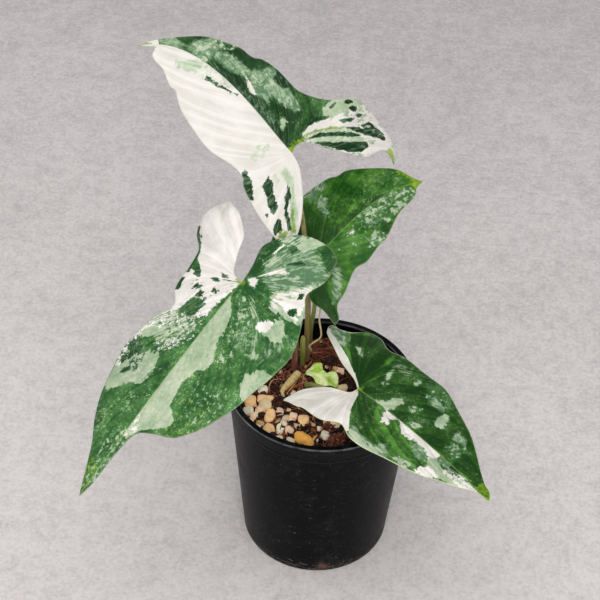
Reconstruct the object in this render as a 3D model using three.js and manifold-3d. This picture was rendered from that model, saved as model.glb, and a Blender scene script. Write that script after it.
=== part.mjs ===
// Arrowhead plant with white-splashed leaves, growing in a small black nursery pot.
// Millimetres, +Z up. The origin is the centre of the pot's underside.

import * as THREE from 'three';
import { mergeVertices } from 'three/addons/utils/BufferGeometryUtils.js';
import Module from 'manifold-3d';

const wasm = await Module();
wasm.setup();

// ---------------------------------------------------------------- driving dimensions

const GAP = 0.3; // clearance between pieces that touch

const POT = {
  height: 108.6,
  rimRadius: 50,
  rimFlat: 1.8, // width of the rim's flat top
  rimRound: 0.7,
  beadHeight: 3.6,
  beadStep: 0.5, // how far the bead stands out over the collar
  collarHeight: 11,
  collarStep: 0.6, // how far the collar's foot stands out over the wall
  footRound: 1,
  baseRadius: 40.4,
  neckRadius: 48.9, // outside, just under the collar
  wall: 1.2,
  floor: 2,
  drainHoles: 6,
  drainRadius: 4,
  drainCircle: 27,
  sides: 56,
};

const MIX = {
  level: 95,
  lump: 0.9,
  calmEdge: 4, // width beside the wall over which the surface evens out
  sides: 28,
  rings: 6,
  holeDepth: 11, // how far the stems stand in the mix
  fillRadius: 43, // seeded stones and chips lie within this
};

// Lengths that the terms of a blade's relief are measured against.
const RELIEF = { ahead: 100, behind: 50, curl: 10, curlStart: 12, foldRound: 3, roll: 50, wave: 40 };

const BLADE = {
  halfThickness: 0.5,
  lobeShare: 0.4, // share of the margin, from the lobe's tip, that the lobe's own spine serves
  veinSweep: 1.6, // above 1, lateral veins leave the midrib sloping forward
  lobeSteps: 9,
  foreSteps: 19,
  outerRows: 4,
  innerRows: 3,
};

// Each blade is drawn in its own plane: x across, y along the midrib, from the petiole's end.
// Each half has an outer margin, lobe tip to apex, and an inner one, sinus to lobe tip.
// heading, pitch and bank turn the plane. arch, lobe, curl, fold, roll and wave raise the
// blade off it. bend and tip shape the midrib.
const BLADES = {
  top: {
    junction: [-22.5, 46, 225],
    heading: 154, pitch: 34, bank: 27,
    length: 92, sinus: -2, bend: 28, tip: -10, tipPower: 9,
    arch: -26, fold: -0.04, flatRadius: 34, wave: 1.6, waveLength: 34,
    left: {
      lobe: -14, curl: -0.5, roll: -3, phase: 0.4,
      outer: [
        [-34.5, -33.5], [-36, -31], [-36, -21.5], [-31.5, 0], [-29.5, 4.5], [-27, 7], [-26, 14.5],
        [-28, 31], [-22.5, 52], [-16, 63], [-16.5, 64], [-16, 66.5], [-12, 74], [-10.5, 81.5],
        [-9, 83.5], [-5.5, 85], [-10, 92],
      ],
      inner: [[-2.5, -9.5], [-12.5, -22.5], [-25.5, -32.5], [-30.5, -34], [-34.5, -33.5]],
    },
    right: {
      lobe: -10, curl: -1, roll: -6, phase: 2.2,
      outer: [
        [42.5, -45], [46, -42], [48, -38], [51, -26], [52, -20.5], [51, -14.5], [49, -9.5],
        [46.5, -5.5], [37.5, 1.5], [34, 5], [28, 15.5], [27, 19], [27.5, 33.5], [26.5, 42],
        [24, 46], [23.5, 53.5], [22, 57.5], [17, 69.5], [14.5, 73], [-1.5, 87.5], [-10, 92],
      ],
      inner: [
        [2.5, -0.5], [5, -1], [7.5, -1.5], [9.5, -3], [15, -12], [27, -28.5], [30, -31.5],
        [41, -36], [42.5, -45],
      ],
    },
  },
  middle: {
    junction: [-7, 34, 164.5],
    heading: 38, pitch: 26, bank: -25,
    length: 73, sinus: 0, bend: -18, tip: 4.5, tipPower: 4,
    arch: -22, fold: -0.06, flatRadius: 26, wave: 1.3, waveLength: 30,
    left: {
      lobe: -5, curl: -1, roll: -3, phase: 1,
      outer: [
        [-19.5, -16.5], [-26.5, -4], [-30.5, 11.5], [-30.5, 24], [-29, 35.5], [-27, 40],
        [-26.5, 45.5], [-16.5, 59.5], [-11, 65.5], [-8, 67.5], [2, 71], [4.5, 73],
      ],
      inner: [[-3, -1], [-7.5, -9], [-12, -14], [-16, -17], [-19.5, -16.5]],
    },
    right: {
      lobe: -6, curl: -1, roll: -4, phase: 3,
      outer: [
        [32.5, -15.5], [32, -12], [27.5, -9], [25.5, -6.5], [24, -1], [18, 12.5], [19, 19.5],
        [16.5, 31], [16.5, 34.5], [10, 51], [9, 60], [8, 64], [5.5, 67.5], [4.5, 73],
      ],
      inner: [[8, -12.5], [12.5, -15.5], [16.5, -16.5], [23, -15], [32.5, -15.5]],
    },
  },
  left: {
    junction: [-42, -12, 185.5],
    heading: -130, pitch: -24, bank: -8,
    length: 129.5, sinus: 0, bend: -8, tip: -1.5, tipPower: 4,
    arch: -6.5, fold: -0.05, flatRadius: 38, wave: 1.8, waveLength: 38,
    left: {
      lobe: 6, curl: -2, roll: -3, phase: 2.6,
      outer: [
        [-35, -34.5], [-36.5, -22.5], [-34.5, -13], [-35, -10.5], [-40, -4], [-48, 18.5],
        [-49.5, 23.5], [-49.5, 33], [-44, 45], [-38.5, 67], [-36, 71.5], [-28.5, 79.5],
        [-25.5, 82], [-15, 86], [-7.5, 90.5], [-5, 101], [-3.5, 123], [-1.5, 129.5],
      ],
      inner: [
        [1.5, -9.5], [4.5, -20.5], [3.5, -23.5], [-1.5, -29], [-10.5, -35.5], [-22.5, -38],
        [-31.5, -37], [-35, -34.5],
      ],
    },
    right: {
      lobe: 9, curl: -1, roll: -3, phase: 0.2,
      outer: [
        [42.5, -35], [46.5, -35], [47.5, -33], [54, -27], [58, -21.5], [56.5, -15.5],
        [43.5, -7.5], [39.5, -4], [34.5, 6.5], [33.5, 19.5], [27.5, 26.5], [31.5, 36],
        [33, 49], [36, 58], [36, 63], [29.5, 77.5], [21, 95], [11, 107.5], [-1.5, 129.5],
      ],
      inner: [
        [7.5, -2], [10.5, -5], [16, -14.5], [18, -20.5], [20, -23], [29.5, -30.5], [38, -34],
        [42.5, -35],
      ],
    },
  },
  right: {
    junction: [19.5, -22, 125.5],
    heading: -37, pitch: -7, bank: 5,
    length: 87, sinus: -1, bend: 3, tip: 1.5, tipPower: 4,
    arch: -14, fold: 0.1, flatRadius: 28, wave: 1.2, waveLength: 32,
    left: {
      lobe: -2, curl: -0.8, roll: -3, phase: 1.4,
      outer: [
        [-31.5, -42.5], [-31.5, -40.5], [-29, -36.5], [-29, -33], [-30, -29.5], [-39.5, -22],
        [-40.5, -19], [-40.5, -16], [-34.5, -8], [-33.5, -4.5], [-35.5, 5.5], [-36, 17],
        [-35.5, 23.5], [-34, 31.5], [-23.5, 55], [-8.5, 74.5], [-4.5, 80.5], [-4, 83],
        [-1, 86], [1.5, 87],
      ],
      inner: [[-3.5, -6], [-9, -20], [-21, -38], [-24.5, -40.5], [-29, -42.5], [-31.5, -42.5]],
    },
    right: {
      lobe: -3, curl: -0.8, roll: -3, phase: 0,
      outer: [
        [36, -21.5], [34.5, -14.5], [33, -11.5], [33, 1], [28, 9], [31, 17.5], [27, 39.5],
        [20, 55], [9.5, 71], [4, 77], [2.5, 79.5], [1.5, 87],
      ],
      inner: [[5.5, -2], [11, -11], [15, -14.5], [23.5, -19], [36, -21.5]],
    },
  },
};

// Petioles: centre line from the mix up to the blade, and radii at its foot and its end.
const PETIOLES = {
  top: {
    line: [[-9, 30, 95], [-9.2, 30, 117], [-9.6, 30.4, 139], [-11.1, 32.3, 163], [-16, 39, 197]],
    foot: 1.8, end: 1.1,
  },
  middle: {
    line: [[-7.5, 35, 95], [-7.6, 34, 113.6], [-6.2, 34, 128.4], [-5.8, 35.5, 146]],
    foot: 1.6, end: 1,
  },
  left: {
    line: [[-15.5, 20.5, 95], [-15, 23, 112], [-17.5, 21, 135], [-25, 11.5, 158]],
    foot: 1.7, end: 1.2,
  },
  right: {
    line: [[-8.4, 8.7, 95], [-6, 4, 101.5], [1, -4.5, 108], [10, -14, 113.5]],
    foot: 1.5, end: 1.1,
  },
};
const PETIOLE_SEAT = 1.5; // where the petiole meets the blade, forward of the sinus
const PETIOLE_BEND = 5; // the last stretch, square to the blade
const PETIOLE_TAPER = 1.5; // above 1, most of the taper is near the foot

const STUB = {
  line: [[-10.9, 25.7, 95], [-11.2, 25.9, 105], [-11.3, 26.1, 116]],
  radius: 1.6, bluntFrom: 0.9, bluntBy: 0.5,
};

const OLD_STEM = {
  line: [[-13, 16, 98], [-17, 9.5, 97.4], [-21, 3, 96.2], [-19.5, -0.5, 95.4]],
  radii: [2, 2.1, 1.6, 0.7],
};

const AERIAL_ROOT = {
  line: [
    [-7.1, 28.9, 102.6], [-6.6, 28.6, 103.8], [-7.8, 27.2, 108], [-6.4, 27, 110.2],
    [-2.7, 26.5, 114.3], [-1.7, 26, 117], [-1.9, 26, 121.4], [-2.9, 26, 127.2],
    [-3.1, 26, 132.3], [-2.7, 26, 137],
  ],
  radius: 0.5,
};

const SPROUT = {
  centre: [1, 12],
  height: 101.5,
  ruffle: 1.3,
  ruffles: 5,
  phase: 0.6,
  droop: 1.2,
  halfThickness: 0.45,
  stalkRadius: 1,
  rings: 4,
  points: 30,
  outline: [
    [-9, 16.5], [-6.3, 19.3], [-3.7, 21], [-0.5, 20.8], [-0.5, 15.5], [2.5, 15.8], [5.2, 16],
    [8, 13.3], [8.9, 10.3], [7.9, 6.5], [6, 4.5], [2, 3.5], [-1.5, 5.5], [-4.5, 9], [-8.3, 12],
  ],
};

// Pebbles that lie in the open part of the mix: x, y, half width, half depth.
const PEBBLES = [
  [-37, -6, 3.2, 3.3], [-30, -3, 4, 2.3], [-29.5, -9, 3.2, 3.3], [-32.5, -11.5, 1.9, 2.6],
  [-26.5, -15, 2.4, 3.6], [-38.5, -12.5, 2.7, 2.7], [-35, -16, 1.9, 2.3], [-36.5, -20, 1.6, 1.9],
  [-21, -11.5, 2.1, 2.3], [-26.5, -24.5, 2.9, 3.1], [-32, -24, 1.8, 3], [-20.5, -24, 1.8, 3.4],
  [-15.5, -25, 2.4, 2.3], [-12, -21, 2.1, 1.6], [-14.5, -15, 2.1, 2.7], [-8.5, -17, 2.9, 2.8],
  [-21, -31, 2.6, 2], [-26, -30.5, 1.3, 1.3], [-15, -33, 2.6, 2.6], [-7.5, -32, 4.7, 3.9],
  [-1.5, -31, 1.2, 1.2], [3, -27.5, 2.3, 2.4], [0, -22.5, 1.3, 1.4], [9.5, -30.5, 3.7, 4.4],
  [8, -18.5, 2.4, 2], [-31.5, 4.5, 2.4, 2.7], [11.5, 7.5, 2.7, 2.4], [9.5, 22, 1.9, 1.7],
  [6.5, 33, 1.4, 1.4], [3.5, -17.5, 1.3, 1.7],
];

// Chunks of bark: x, y, half length, half width, half height, turn in degrees.
const BARK = [
  [1, 38, 6, 4.6, 3, 20], [3.5, 27.5, 4.4, 3.6, 2.8, -30], [18, 13, 5, 4, 2.8, 60],
  [-22.5, -3.5, 3, 1.9, 2, 70], [-24, 5, 2.6, 2, 1.8, -20], [-34, 14, 5.2, 3.4, 2.6, 35],
  [26, -4, 4.8, 3.4, 2.6, -50], [24, 26, 5.4, 3.8, 2.8, 15],
];

// A pebble's half height as a share of its smaller half width, and the half width under which
// eight faces are enough for it.
const PEBBLE = { flatness: 0.75, small: 1.7, raised: 0.25 };
const BARK_RAISED = 0.1;

// Seeded stones and chips in the rest of the mix: how many, the room that each keeps, its half
// length from least to least + range, its shape, and how far it is raised as a share of its height.
const FILL = [
  { count: 20, room: 2.8, least: 1.9, range: 1.3, shape: [1, 0.85, 0.7], raised: 0.25, chip: false },
  { count: 22, room: 2.2, least: 2, range: 1.6, shape: [1, 0.5, 0.4], raised: 0.1, chip: true },
];
const ROOM = { stem: 3, oldStem: 4, sprout: 6, crowding: 0.9, tries: 4000 };
const UNEVEN = { least: 0.9, range: 0.3 }; // stretch of a stone's corners

// ---------------------------------------------------------------- shared helpers

const UP = new THREE.Vector3(0, 0, 1);
const toVector = ([x, y, z = 0]) => new THREE.Vector3(x, y, z);
const clamp = THREE.MathUtils.clamp;

/** Repeatable random numbers in 0..1 (a small linear congruential generator). */
function seededRandom(seed) {
  let state = seed;
  return () => {
    state = (state * 1664525 + 1013904223) % 4294967296;
    return state / 4294967296;
  };
}

const placing = seededRandom(11);
const shaping = seededRandom(5);

/** Closed geometry from a list of points and triangles. */
function geometryOf(points, triangles) {
  const geometry = new THREE.BufferGeometry();
  geometry.setAttribute('position', new THREE.Float32BufferAttribute(points.flat(), 3));
  geometry.setIndex(triangles.flat());
  return geometry;
}

/** Joins equal vertices and drops the triangles that this leaves without area. */
function welded(geometry) {
  const bare = geometry.clone();
  bare.deleteAttribute('normal');
  bare.deleteAttribute('uv');
  const merged = mergeVertices(bare, 1e-4);
  const kept = [];
  for (let i = 0; i < merged.index.count; i += 3) {
    const [a, b, c] = [0, 1, 2].map((k) => merged.index.getX(i + k));
    if (a !== b && b !== c && c !== a) kept.push(a, b, c);
  }
  merged.setIndex(kept);
  return merged;
}

function solidOf(geometry) {
  const source = welded(geometry);
  return new wasm.Manifold(new wasm.Mesh({
    numProp: 3,
    vertProperties: source.attributes.position.array,
    triVerts: Uint32Array.from(source.index.array),
  }));
}

function geometryFrom(solid) {
  const mesh = solid.getMesh();
  const geometry = new THREE.BufferGeometry();
  geometry.setAttribute('position', new THREE.Float32BufferAttribute(mesh.vertProperties, 3));
  geometry.setIndex(Array.from(mesh.triVerts));
  return geometry;
}

function namedMesh(name, geometry, color, roughness) {
  geometry.computeVertexNormals();
  const material = new THREE.MeshStandardMaterial({ color, roughness, metalness: 0 });
  const mesh = new THREE.Mesh(geometry, material);
  mesh.name = name;
  return mesh;
}

/** Profile of [radius, height] pairs, turned round the Z axis. */
function turned(profile, sides) {
  const points = profile.map(([radius, height]) => new THREE.Vector2(radius, height));
  return new THREE.LatheGeometry(points, sides).rotateX(Math.PI / 2);
}

/** Round rod along a smooth line through points; radiusAt takes 0 at its foot to 1 at its end. */
function rod(points, radiusAt, { sides = 9, steps = 16 } = {}) {
  const path = new THREE.CatmullRomCurve3(points.map(toVector), false, 'centripetal');
  const frames = path.computeFrenetFrames(steps, false);
  const vertices = [];
  const triangles = [];
  for (let i = 0; i <= steps; i++) {
    const centre = path.getPointAt(i / steps);
    for (let k = 0; k < sides; k++) {
      const turn = (2 * Math.PI * k) / sides;
      const spoke = frames.normals[i].clone().multiplyScalar(Math.cos(turn));
      spoke.addScaledVector(frames.binormals[i], Math.sin(turn));
      vertices.push(centre.clone().addScaledVector(spoke, radiusAt(i / steps)).toArray());
    }
  }
  for (let i = 0; i < steps; i++) {
    for (let k = 0; k < sides; k++) {
      const next = (k + 1) % sides;
      const [a, b] = [i * sides + k, i * sides + next];
      triangles.push([a, b, b + sides], [a, b + sides, a + sides]);
    }
  }
  const foot = vertices.push(path.getPointAt(0).toArray()) - 1;
  const end = vertices.push(path.getPointAt(1).toArray()) - 1;
  for (let k = 0; k < sides; k++) {
    const next = (k + 1) % sides;
    triangles.push([foot, next, k], [end, steps * sides + k, steps * sides + next]);
  }
  return geometryOf(vertices, triangles);
}

/** The same thin sheet above and below a welded grid of points, closed round its edge. */
function thickened(points, triangles, halfThickness) {
  const shifted = (by) => points.map(([x, y, z]) => [x, y, z + by]);
  const count = points.length;
  const faces = triangles.flatMap(([a, b, c]) => [[a, b, c], [a + count, c + count, b + count]]);
  const directed = new Set(triangles.flatMap(([a, b, c]) => [`${a},${b}`, `${b},${c}`, `${c},${a}`]));
  for (const edge of directed) {
    const [a, b] = edge.split(',').map(Number);
    if (directed.has(`${b},${a}`)) continue;
    faces.push([b, a, a + count], [b, a + count, b + count]);
  }
  return geometryOf([...shifted(halfThickness), ...shifted(-halfThickness)], faces);
}

// ---------------------------------------------------------------- pot and potting mix

function potOuterRadius(z) {
  const share = z / (POT.height - POT.collarHeight);
  return THREE.MathUtils.lerp(POT.baseRadius, POT.neckRadius, share);
}

/** Moulded pot: tapering wall, a collar with a bead, a flat rim and drain holes in its floor. */
function potGeometry() {
  const collarFoot = POT.height - POT.collarHeight;
  const bead = POT.height - POT.beadHeight;
  const { rimRadius, rimRound, rimFlat, wall, footRound, beadStep, floor } = POT;
  const inner = rimRadius - 2 * rimRound - rimFlat;
  const profile = [
    [0, 0], [POT.baseRadius - footRound, 0], [potOuterRadius(footRound), footRound],
    [POT.neckRadius, collarFoot], [POT.neckRadius + POT.collarStep, collarFoot + 2 * POT.collarStep],
    [rimRadius - beadStep, bead], [rimRadius, bead + beadStep], [rimRadius, POT.height - rimRound],
    [rimRadius - rimRound, POT.height], [rimRadius - rimRound - rimFlat, POT.height],
    [inner, POT.height - rimRound], [inner, bead],
    [POT.neckRadius - wall, collarFoot], [potOuterRadius(2 * floor) - wall, 2 * floor],
    [potOuterRadius(floor) - 2 * wall, floor], [0, floor],
  ];
  let pot = solidOf(turned(profile, POT.sides));
  for (let i = 0; i < POT.drainHoles; i++) {
    const turn = (2 * Math.PI * (i + 0.5)) / POT.drainHoles;
    const hole = new THREE.CylinderGeometry(POT.drainRadius, POT.drainRadius, 3 * floor, 14);
    hole.rotateX(Math.PI / 2);
    hole.translate(POT.drainCircle * Math.cos(turn), POT.drainCircle * Math.sin(turn), floor / 2);
    pot = pot.subtract(solidOf(hole));
  }
  return geometryFrom(pot);
}

/** Height of the mix's uneven surface. */
function mixSurface(x, y) {
  const coarse = Math.sin(0.31 * x + 0.9) * Math.cos(0.27 * y - 0.4);
  const fine = Math.sin(0.83 * x - 0.55 * y) * Math.cos(0.61 * y + 0.37 * x + 1.3);
  return MIX.level + MIX.lump * (0.65 * coarse + 0.35 * fine);
}

/** Plug of mix that fills the pot, its top raised by mixSurface. */
function mixPlug() {
  const { floor, wall } = POT;
  const wallRadius = potOuterRadius(MIX.level) - wall - GAP;
  const profile = [
    [0, floor + GAP], [potOuterRadius(floor) - 2 * wall - GAP, floor + GAP],
    [potOuterRadius(2 * floor) - wall - GAP, 2 * floor + GAP],
  ];
  for (let ring = 0; ring <= MIX.rings; ring++) {
    profile.push([wallRadius * (1 - ring / MIX.rings), MIX.level]);
  }
  const plug = turned(profile, MIX.sides);
  const place = plug.attributes.position;
  for (let i = 0; i < place.count; i++) {
    if (place.getZ(i) < MIX.level - 1) continue;
    const [x, y] = [place.getX(i), place.getY(i)];
    const edge = clamp((wallRadius - Math.hypot(x, y)) / MIX.calmEdge, 0, 1);
    place.setZ(i, MIX.level + edge * (mixSurface(x, y) - MIX.level));
  }
  return plug;
}

/** Uneven stone or chip, raised a little so that most of it is sunk. */
function lump(x, y, halfSizes, turnDegrees, { raised, chip = false }) {
  const shape = welded(chip ? new THREE.OctahedronGeometry(1, 0) : new THREE.IcosahedronGeometry(1, 0));
  const place = shape.attributes.position;
  for (let i = 0; i < place.count; i++) {
    const stretch = UNEVEN.least + UNEVEN.range * shaping();
    place.setXYZ(i, place.getX(i) * stretch, place.getY(i) * stretch, place.getZ(i) * stretch);
  }
  shape.scale(...halfSizes);
  shape.rotateZ(THREE.MathUtils.degToRad(turnDegrees));
  shape.translate(x, y, mixSurface(x, y) + raised * halfSizes[2]);
  return solidOf(shape);
}

/** Seeded places in the rest of the surface, clear of the stems and of what lies there. */
function freePlaces(count, room, taken) {
  const places = [];
  for (let tries = 0; places.length < count && tries < ROOM.tries; tries++) {
    const distance = MIX.fillRadius * Math.sqrt(placing());
    const turn = 2 * Math.PI * placing();
    const spot = [distance * Math.cos(turn), distance * Math.sin(turn), room];
    const apart = (size) => ROOM.crowding * (size + room);
    const clear = ([x, y, size]) => Math.hypot(x - spot[0], y - spot[1]) > apart(size);
    if (!taken.every(clear)) continue;
    places.push(spot);
    taken.push(spot);
  }
  return places;
}

/** Plug with its pebbles and chips joined on, and a plain hole for each stem. */
function mixGeometry(stemCutters) {
  const taken = [
    ...PEBBLES.map(([x, y, wide, deep]) => [x, y, Math.max(wide, deep)]),
    ...BARK.map(([x, y, long]) => [x, y, long]),
    ...Object.values(PETIOLES).map(({ line }) => [line[0][0], line[0][1], ROOM.stem]),
    ...STUB.line.map(([x, y]) => [x, y, ROOM.stem]),
    ...OLD_STEM.line.map(([x, y]) => [x, y, ROOM.oldStem]),
    [...SPROUT.centre, ROOM.sprout],
  ];
  const pieces = [];
  for (const [x, y, wide, deep] of PEBBLES) {
    const halfSizes = [wide, deep, PEBBLE.flatness * Math.min(wide, deep)];
    pieces.push(lump(x, y, halfSizes, 0, { raised: PEBBLE.raised, chip: wide < PEBBLE.small }));
  }
  for (const [x, y, long, wide, high, turn] of BARK) {
    pieces.push(lump(x, y, [long, wide, high], turn, { raised: BARK_RAISED }));
  }
  for (const { count, room, least, range, shape, ...setting } of FILL) {
    for (const [x, y] of freePlaces(count, room, taken)) {
      const size = least + range * placing();
      const halfSizes = shape.map((share) => share * size);
      pieces.push(lump(x, y, halfSizes, 360 * placing(), setting));
    }
  }
  let mix = solidOf(mixPlug());
  for (const piece of pieces) mix = mix.add(piece);
  for (const cutter of stemCutters) mix = mix.subtract(solidOf(cutter));
  return geometryFrom(mix);
}

// ---------------------------------------------------------------- leaf blades

/** Across, along and square to a blade's plane, as world directions. */
function bladeAxes({ heading, pitch, bank }) {
  const [turn, rise, roll] = [heading, pitch, bank].map(THREE.MathUtils.degToRad);
  const level = new THREE.Vector3(Math.cos(turn), Math.sin(turn), 0);
  const along = level.clone().multiplyScalar(Math.cos(rise)).addScaledVector(UP, Math.sin(rise));
  const upright = level.clone().multiplyScalar(-Math.sin(rise)).addScaledVector(UP, Math.cos(rise));
  const sideways = new THREE.Vector3().crossVectors(along, upright);
  const across = sideways.multiplyScalar(Math.cos(roll)).addScaledVector(upright, Math.sin(roll));
  const normal = new THREE.Vector3().crossVectors(across, along);
  return { across, along, normal };
}

/** Sideways place of the midrib at y. */
function midribAt(blade, y) {
  const share = clamp(y / blade.length, 0, 1);
  return blade.bend * share ** 1.5 * (1 - share) + blade.tip * share ** blade.tipPower;
}

/** Height of one half of a blade above its plane. */
function relief(blade, half, x, y) {
  const side = x - midribAt(blade, y);
  const ahead = Math.max(y, 0) / RELIEF.ahead;
  const behind = Math.max(-y, 0) / RELIEF.behind;
  const past = Math.max(0, Math.hypot(x, y) - blade.flatRadius) / RELIEF.curl;
  const wave = Math.sin((2 * Math.PI * y) / blade.waveLength + half.phase);
  return blade.arch * ahead ** 2
    + half.lobe * behind ** 2
    + half.curl * past ** 2 * clamp(-y / RELIEF.curlStart, 0, 1)
    + blade.fold * (Math.hypot(side, RELIEF.foldRound) - RELIEF.foldRound)
    + half.roll * (side / RELIEF.roll) ** 2
    + blade.wave * (side / RELIEF.wave) ** 2 * wave;
}

/** Smooth margin through the listed points, read by its share of length. */
function margin(points) {
  const curve = new THREE.CatmullRomCurve3(points.map(toVector), false, 'centripetal');
  curve.arcLengthDivisions = 400;
  return (share) => curve.getPointAt(share);
}

/**
 * One half of a blade as two strips between a spine and a margin. The spine runs from the
 * lobe's tip to the sinus and on along the midrib, so rows of points follow the lateral veins.
 */
function halfStrips(blade, half) {
  const { lobeSteps, foreSteps, lobeShare, veinSweep } = BLADE;
  const sinus = new THREE.Vector3(0, blade.sinus, 0);
  const outerMargin = margin(half.outer);
  const innerMargin = margin([sinus.toArray(), ...half.inner].reverse());
  const lobeSpine = (share) => {
    const inwards = 0.5 * (1 - share ** 2);
    return innerMargin(share).lerp(outerMargin(lobeShare * share), inwards);
  };
  const midrib = (share) => {
    const y = blade.sinus + (blade.length - blade.sinus) * share ** veinSweep;
    return new THREE.Vector3(midribAt(blade, y), y, 0);
  };
  const outer = [];
  const inner = [];
  for (let i = 0; i <= lobeSteps; i++) {
    const share = i / lobeSteps;
    outer.push([lobeSpine(share), outerMargin(lobeShare * share)]);
    inner.push([lobeSpine(share), innerMargin(share)]);
  }
  for (let i = 1; i <= foreSteps; i++) {
    const share = i / foreSteps;
    outer.push([midrib(share), outerMargin(lobeShare + (1 - lobeShare) * share)]);
  }
  return [{ lines: outer, rows: BLADE.outerRows }, { lines: inner, rows: BLADE.innerRows }];
}

/** Thin waved sheet over both halves, in the blade's own axes. */
function bladeGeometry(blade) {
  const points = [];
  const numbers = new Map();
  const triangles = [];
  const numberOf = (half, { x, y }) => {
    const key = `${Math.round(x * 1e3)},${Math.round(y * 1e3)}`;
    if (!numbers.has(key)) numbers.set(key, points.push([x, y, relief(blade, half, x, y)]) - 1);
    return numbers.get(key);
  };
  const addTriangle = (a, b, c) => {
    if (a === b || b === c || c === a) return;
    const [p, q, r] = [points[a], points[b], points[c]];
    const area = (q[0] - p[0]) * (r[1] - p[1]) - (q[1] - p[1]) * (r[0] - p[0]);
    triangles.push(area > 0 ? [a, b, c] : [a, c, b]);
  };
  for (const half of [blade.left, blade.right]) {
    for (const { lines, rows } of halfStrips(blade, half)) {
      const grid = lines.map(([spine, edge]) => Array.from(
        { length: rows + 1 },
        (_, row) => numberOf(half, spine.clone().lerp(edge, row / rows)),
      ));
      for (let i = 0; i + 1 < grid.length; i++) {
        for (let row = 0; row < rows; row++) {
          const [a, b] = [grid[i][row], grid[i][row + 1]];
          const [c, d] = [grid[i + 1][row + 1], grid[i + 1][row]];
          addTriangle(a, b, c);
          addTriangle(a, c, d);
        }
      }
    }
  }
  return thickened(points, triangles, BLADE.halfThickness);
}

function bladeMesh(name, blade) {
  const { across, along, normal } = bladeAxes(blade);
  const mesh = namedMesh(`blade_${name}`, bladeGeometry(blade), '#5d8f60', 0.42);
  mesh.position.set(...blade.junction);
  mesh.quaternion.setFromRotationMatrix(new THREE.Matrix4().makeBasis(across, along, normal));
  return mesh;
}

// ---------------------------------------------------------------- stems, roots and sprout

/** Centre line of a petiole, from its foot in the mix to just under its blade. */
function petioleLine(name) {
  const blade = BLADES[name];
  const { along, normal } = bladeAxes(blade);
  const underside = BLADE.halfThickness + GAP;
  const seat = toVector(blade.junction).addScaledVector(along, PETIOLE_SEAT);
  const end = seat.clone().addScaledVector(normal, -underside);
  const bend = seat.clone().addScaledVector(normal, -underside - PETIOLE_BEND);
  return buried([...PETIOLES[name].line, bend.toArray(), end.toArray()]);
}

/** The same line with a foot that stands in the mix. */
function buried(line) {
  const [x, y] = line[0];
  return [[x, y, MIX.level - MIX.holeDepth + GAP], ...line];
}

const petioleRadius = (name, extra = 0) => (share) => {
  const { foot, end } = PETIOLES[name];
  return end + (foot - end) * (1 - share) ** PETIOLE_TAPER + extra;
};

const stubRadius = (extra = 0) => (share) => {
  const blunt = clamp((share - STUB.bluntFrom) / (1 - STUB.bluntFrom), 0, 1);
  return STUB.radius * (1 - STUB.bluntBy * blunt ** 2) + extra;
};

const oldStemRadius = (extra = 0) => (share) => {
  const { radii } = OLD_STEM;
  const place = share * (radii.length - 1);
  const step = Math.min(Math.floor(place), radii.length - 2);
  return THREE.MathUtils.lerp(radii[step], radii[step + 1], place - step) + extra;
};

/** Crinkled little leaf blade, folded in two lobes, on a short stalk. */
function sproutGeometry() {
  const { centre, height, rings, points: count, halfThickness } = SPROUT;
  const outline = new THREE.CatmullRomCurve3(SPROUT.outline.map(toVector), true, 'centripetal');
  const edge = outline.getSpacedPoints(count).slice(0, count);
  const points = [[...centre, height]];
  const triangles = [];
  for (let ring = 1; ring <= rings; ring++) {
    const share = ring / rings;
    for (const spot of edge) {
      const [x, y] = [0, 1].map((k) => centre[k] + (spot.getComponent(k) - centre[k]) * share);
      const turn = Math.atan2(y - centre[1], x - centre[0]);
      const ruffle = SPROUT.ruffle * share ** 2 * Math.sin(SPROUT.ruffles * turn + SPROUT.phase);
      points.push([x, y, height + ruffle - SPROUT.droop * share ** 2]);
    }
  }
  const number = (ring, k) => (ring === 0 ? 0 : 1 + (ring - 1) * count + (k % count));
  for (let k = 0; k < count; k++) {
    triangles.push([0, number(1, k + 1), number(1, k)]);
    for (let ring = 1; ring < rings; ring++) {
      const [a, b] = [number(ring, k), number(ring, k + 1)];
      const [c, d] = [number(ring + 1, k + 1), number(ring + 1, k)];
      triangles.push([a, b, c], [a, c, d]);
    }
  }
  const leaf = thickened(points, triangles, halfThickness);
  const stalk = rod(buried([[...centre, MIX.level], [...centre, height]]), () => SPROUT.stalkRadius);
  return geometryFrom(solidOf(leaf).add(solidOf(stalk)));
}

// ---------------------------------------------------------------- assembly

const rodSettings = { sides: 9, steps: 18 };
const names = Object.keys(BLADES);
const stalkCutter = rod(
  buried([[...SPROUT.centre, MIX.level], [...SPROUT.centre, SPROUT.height]]),
  () => SPROUT.stalkRadius + GAP,
);
const stemCutters = [
  ...names.map((name) => rod(petioleLine(name), petioleRadius(name, GAP), rodSettings)),
  rod(buried(STUB.line), stubRadius(GAP), rodSettings),
  rod(OLD_STEM.line, oldStemRadius(GAP), rodSettings),
  stalkCutter,
];

const plant = new THREE.Group();
plant.add(namedMesh('pot', potGeometry(), '#1b1c1e', 0.55));
plant.add(namedMesh('potting_mix', mixGeometry(stemCutters), '#4a2f24', 0.95));
for (const name of names) {
  const petiole = rod(petioleLine(name), petioleRadius(name), rodSettings);
  plant.add(namedMesh(`petiole_${name}`, petiole, '#6b7a3a', 0.5));
  plant.add(bladeMesh(name, BLADES[name]));
}
plant.add(namedMesh('sheath_stub', rod(buried(STUB.line), stubRadius(), rodSettings), '#7a8036', 0.55));
plant.add(namedMesh('old_stem', rod(OLD_STEM.line, oldStemRadius(), rodSettings), '#b89a58', 0.75));
const rootSettings = { sides: 6, steps: 26 };
const root = rod(AERIAL_ROOT.line, () => AERIAL_ROOT.radius, rootSettings);
plant.add(namedMesh('aerial_root', root, '#d8c28a', 0.7));
plant.add(namedMesh('sprout', sproutGeometry(), '#a9c95a', 0.5));

export default plant;
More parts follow.
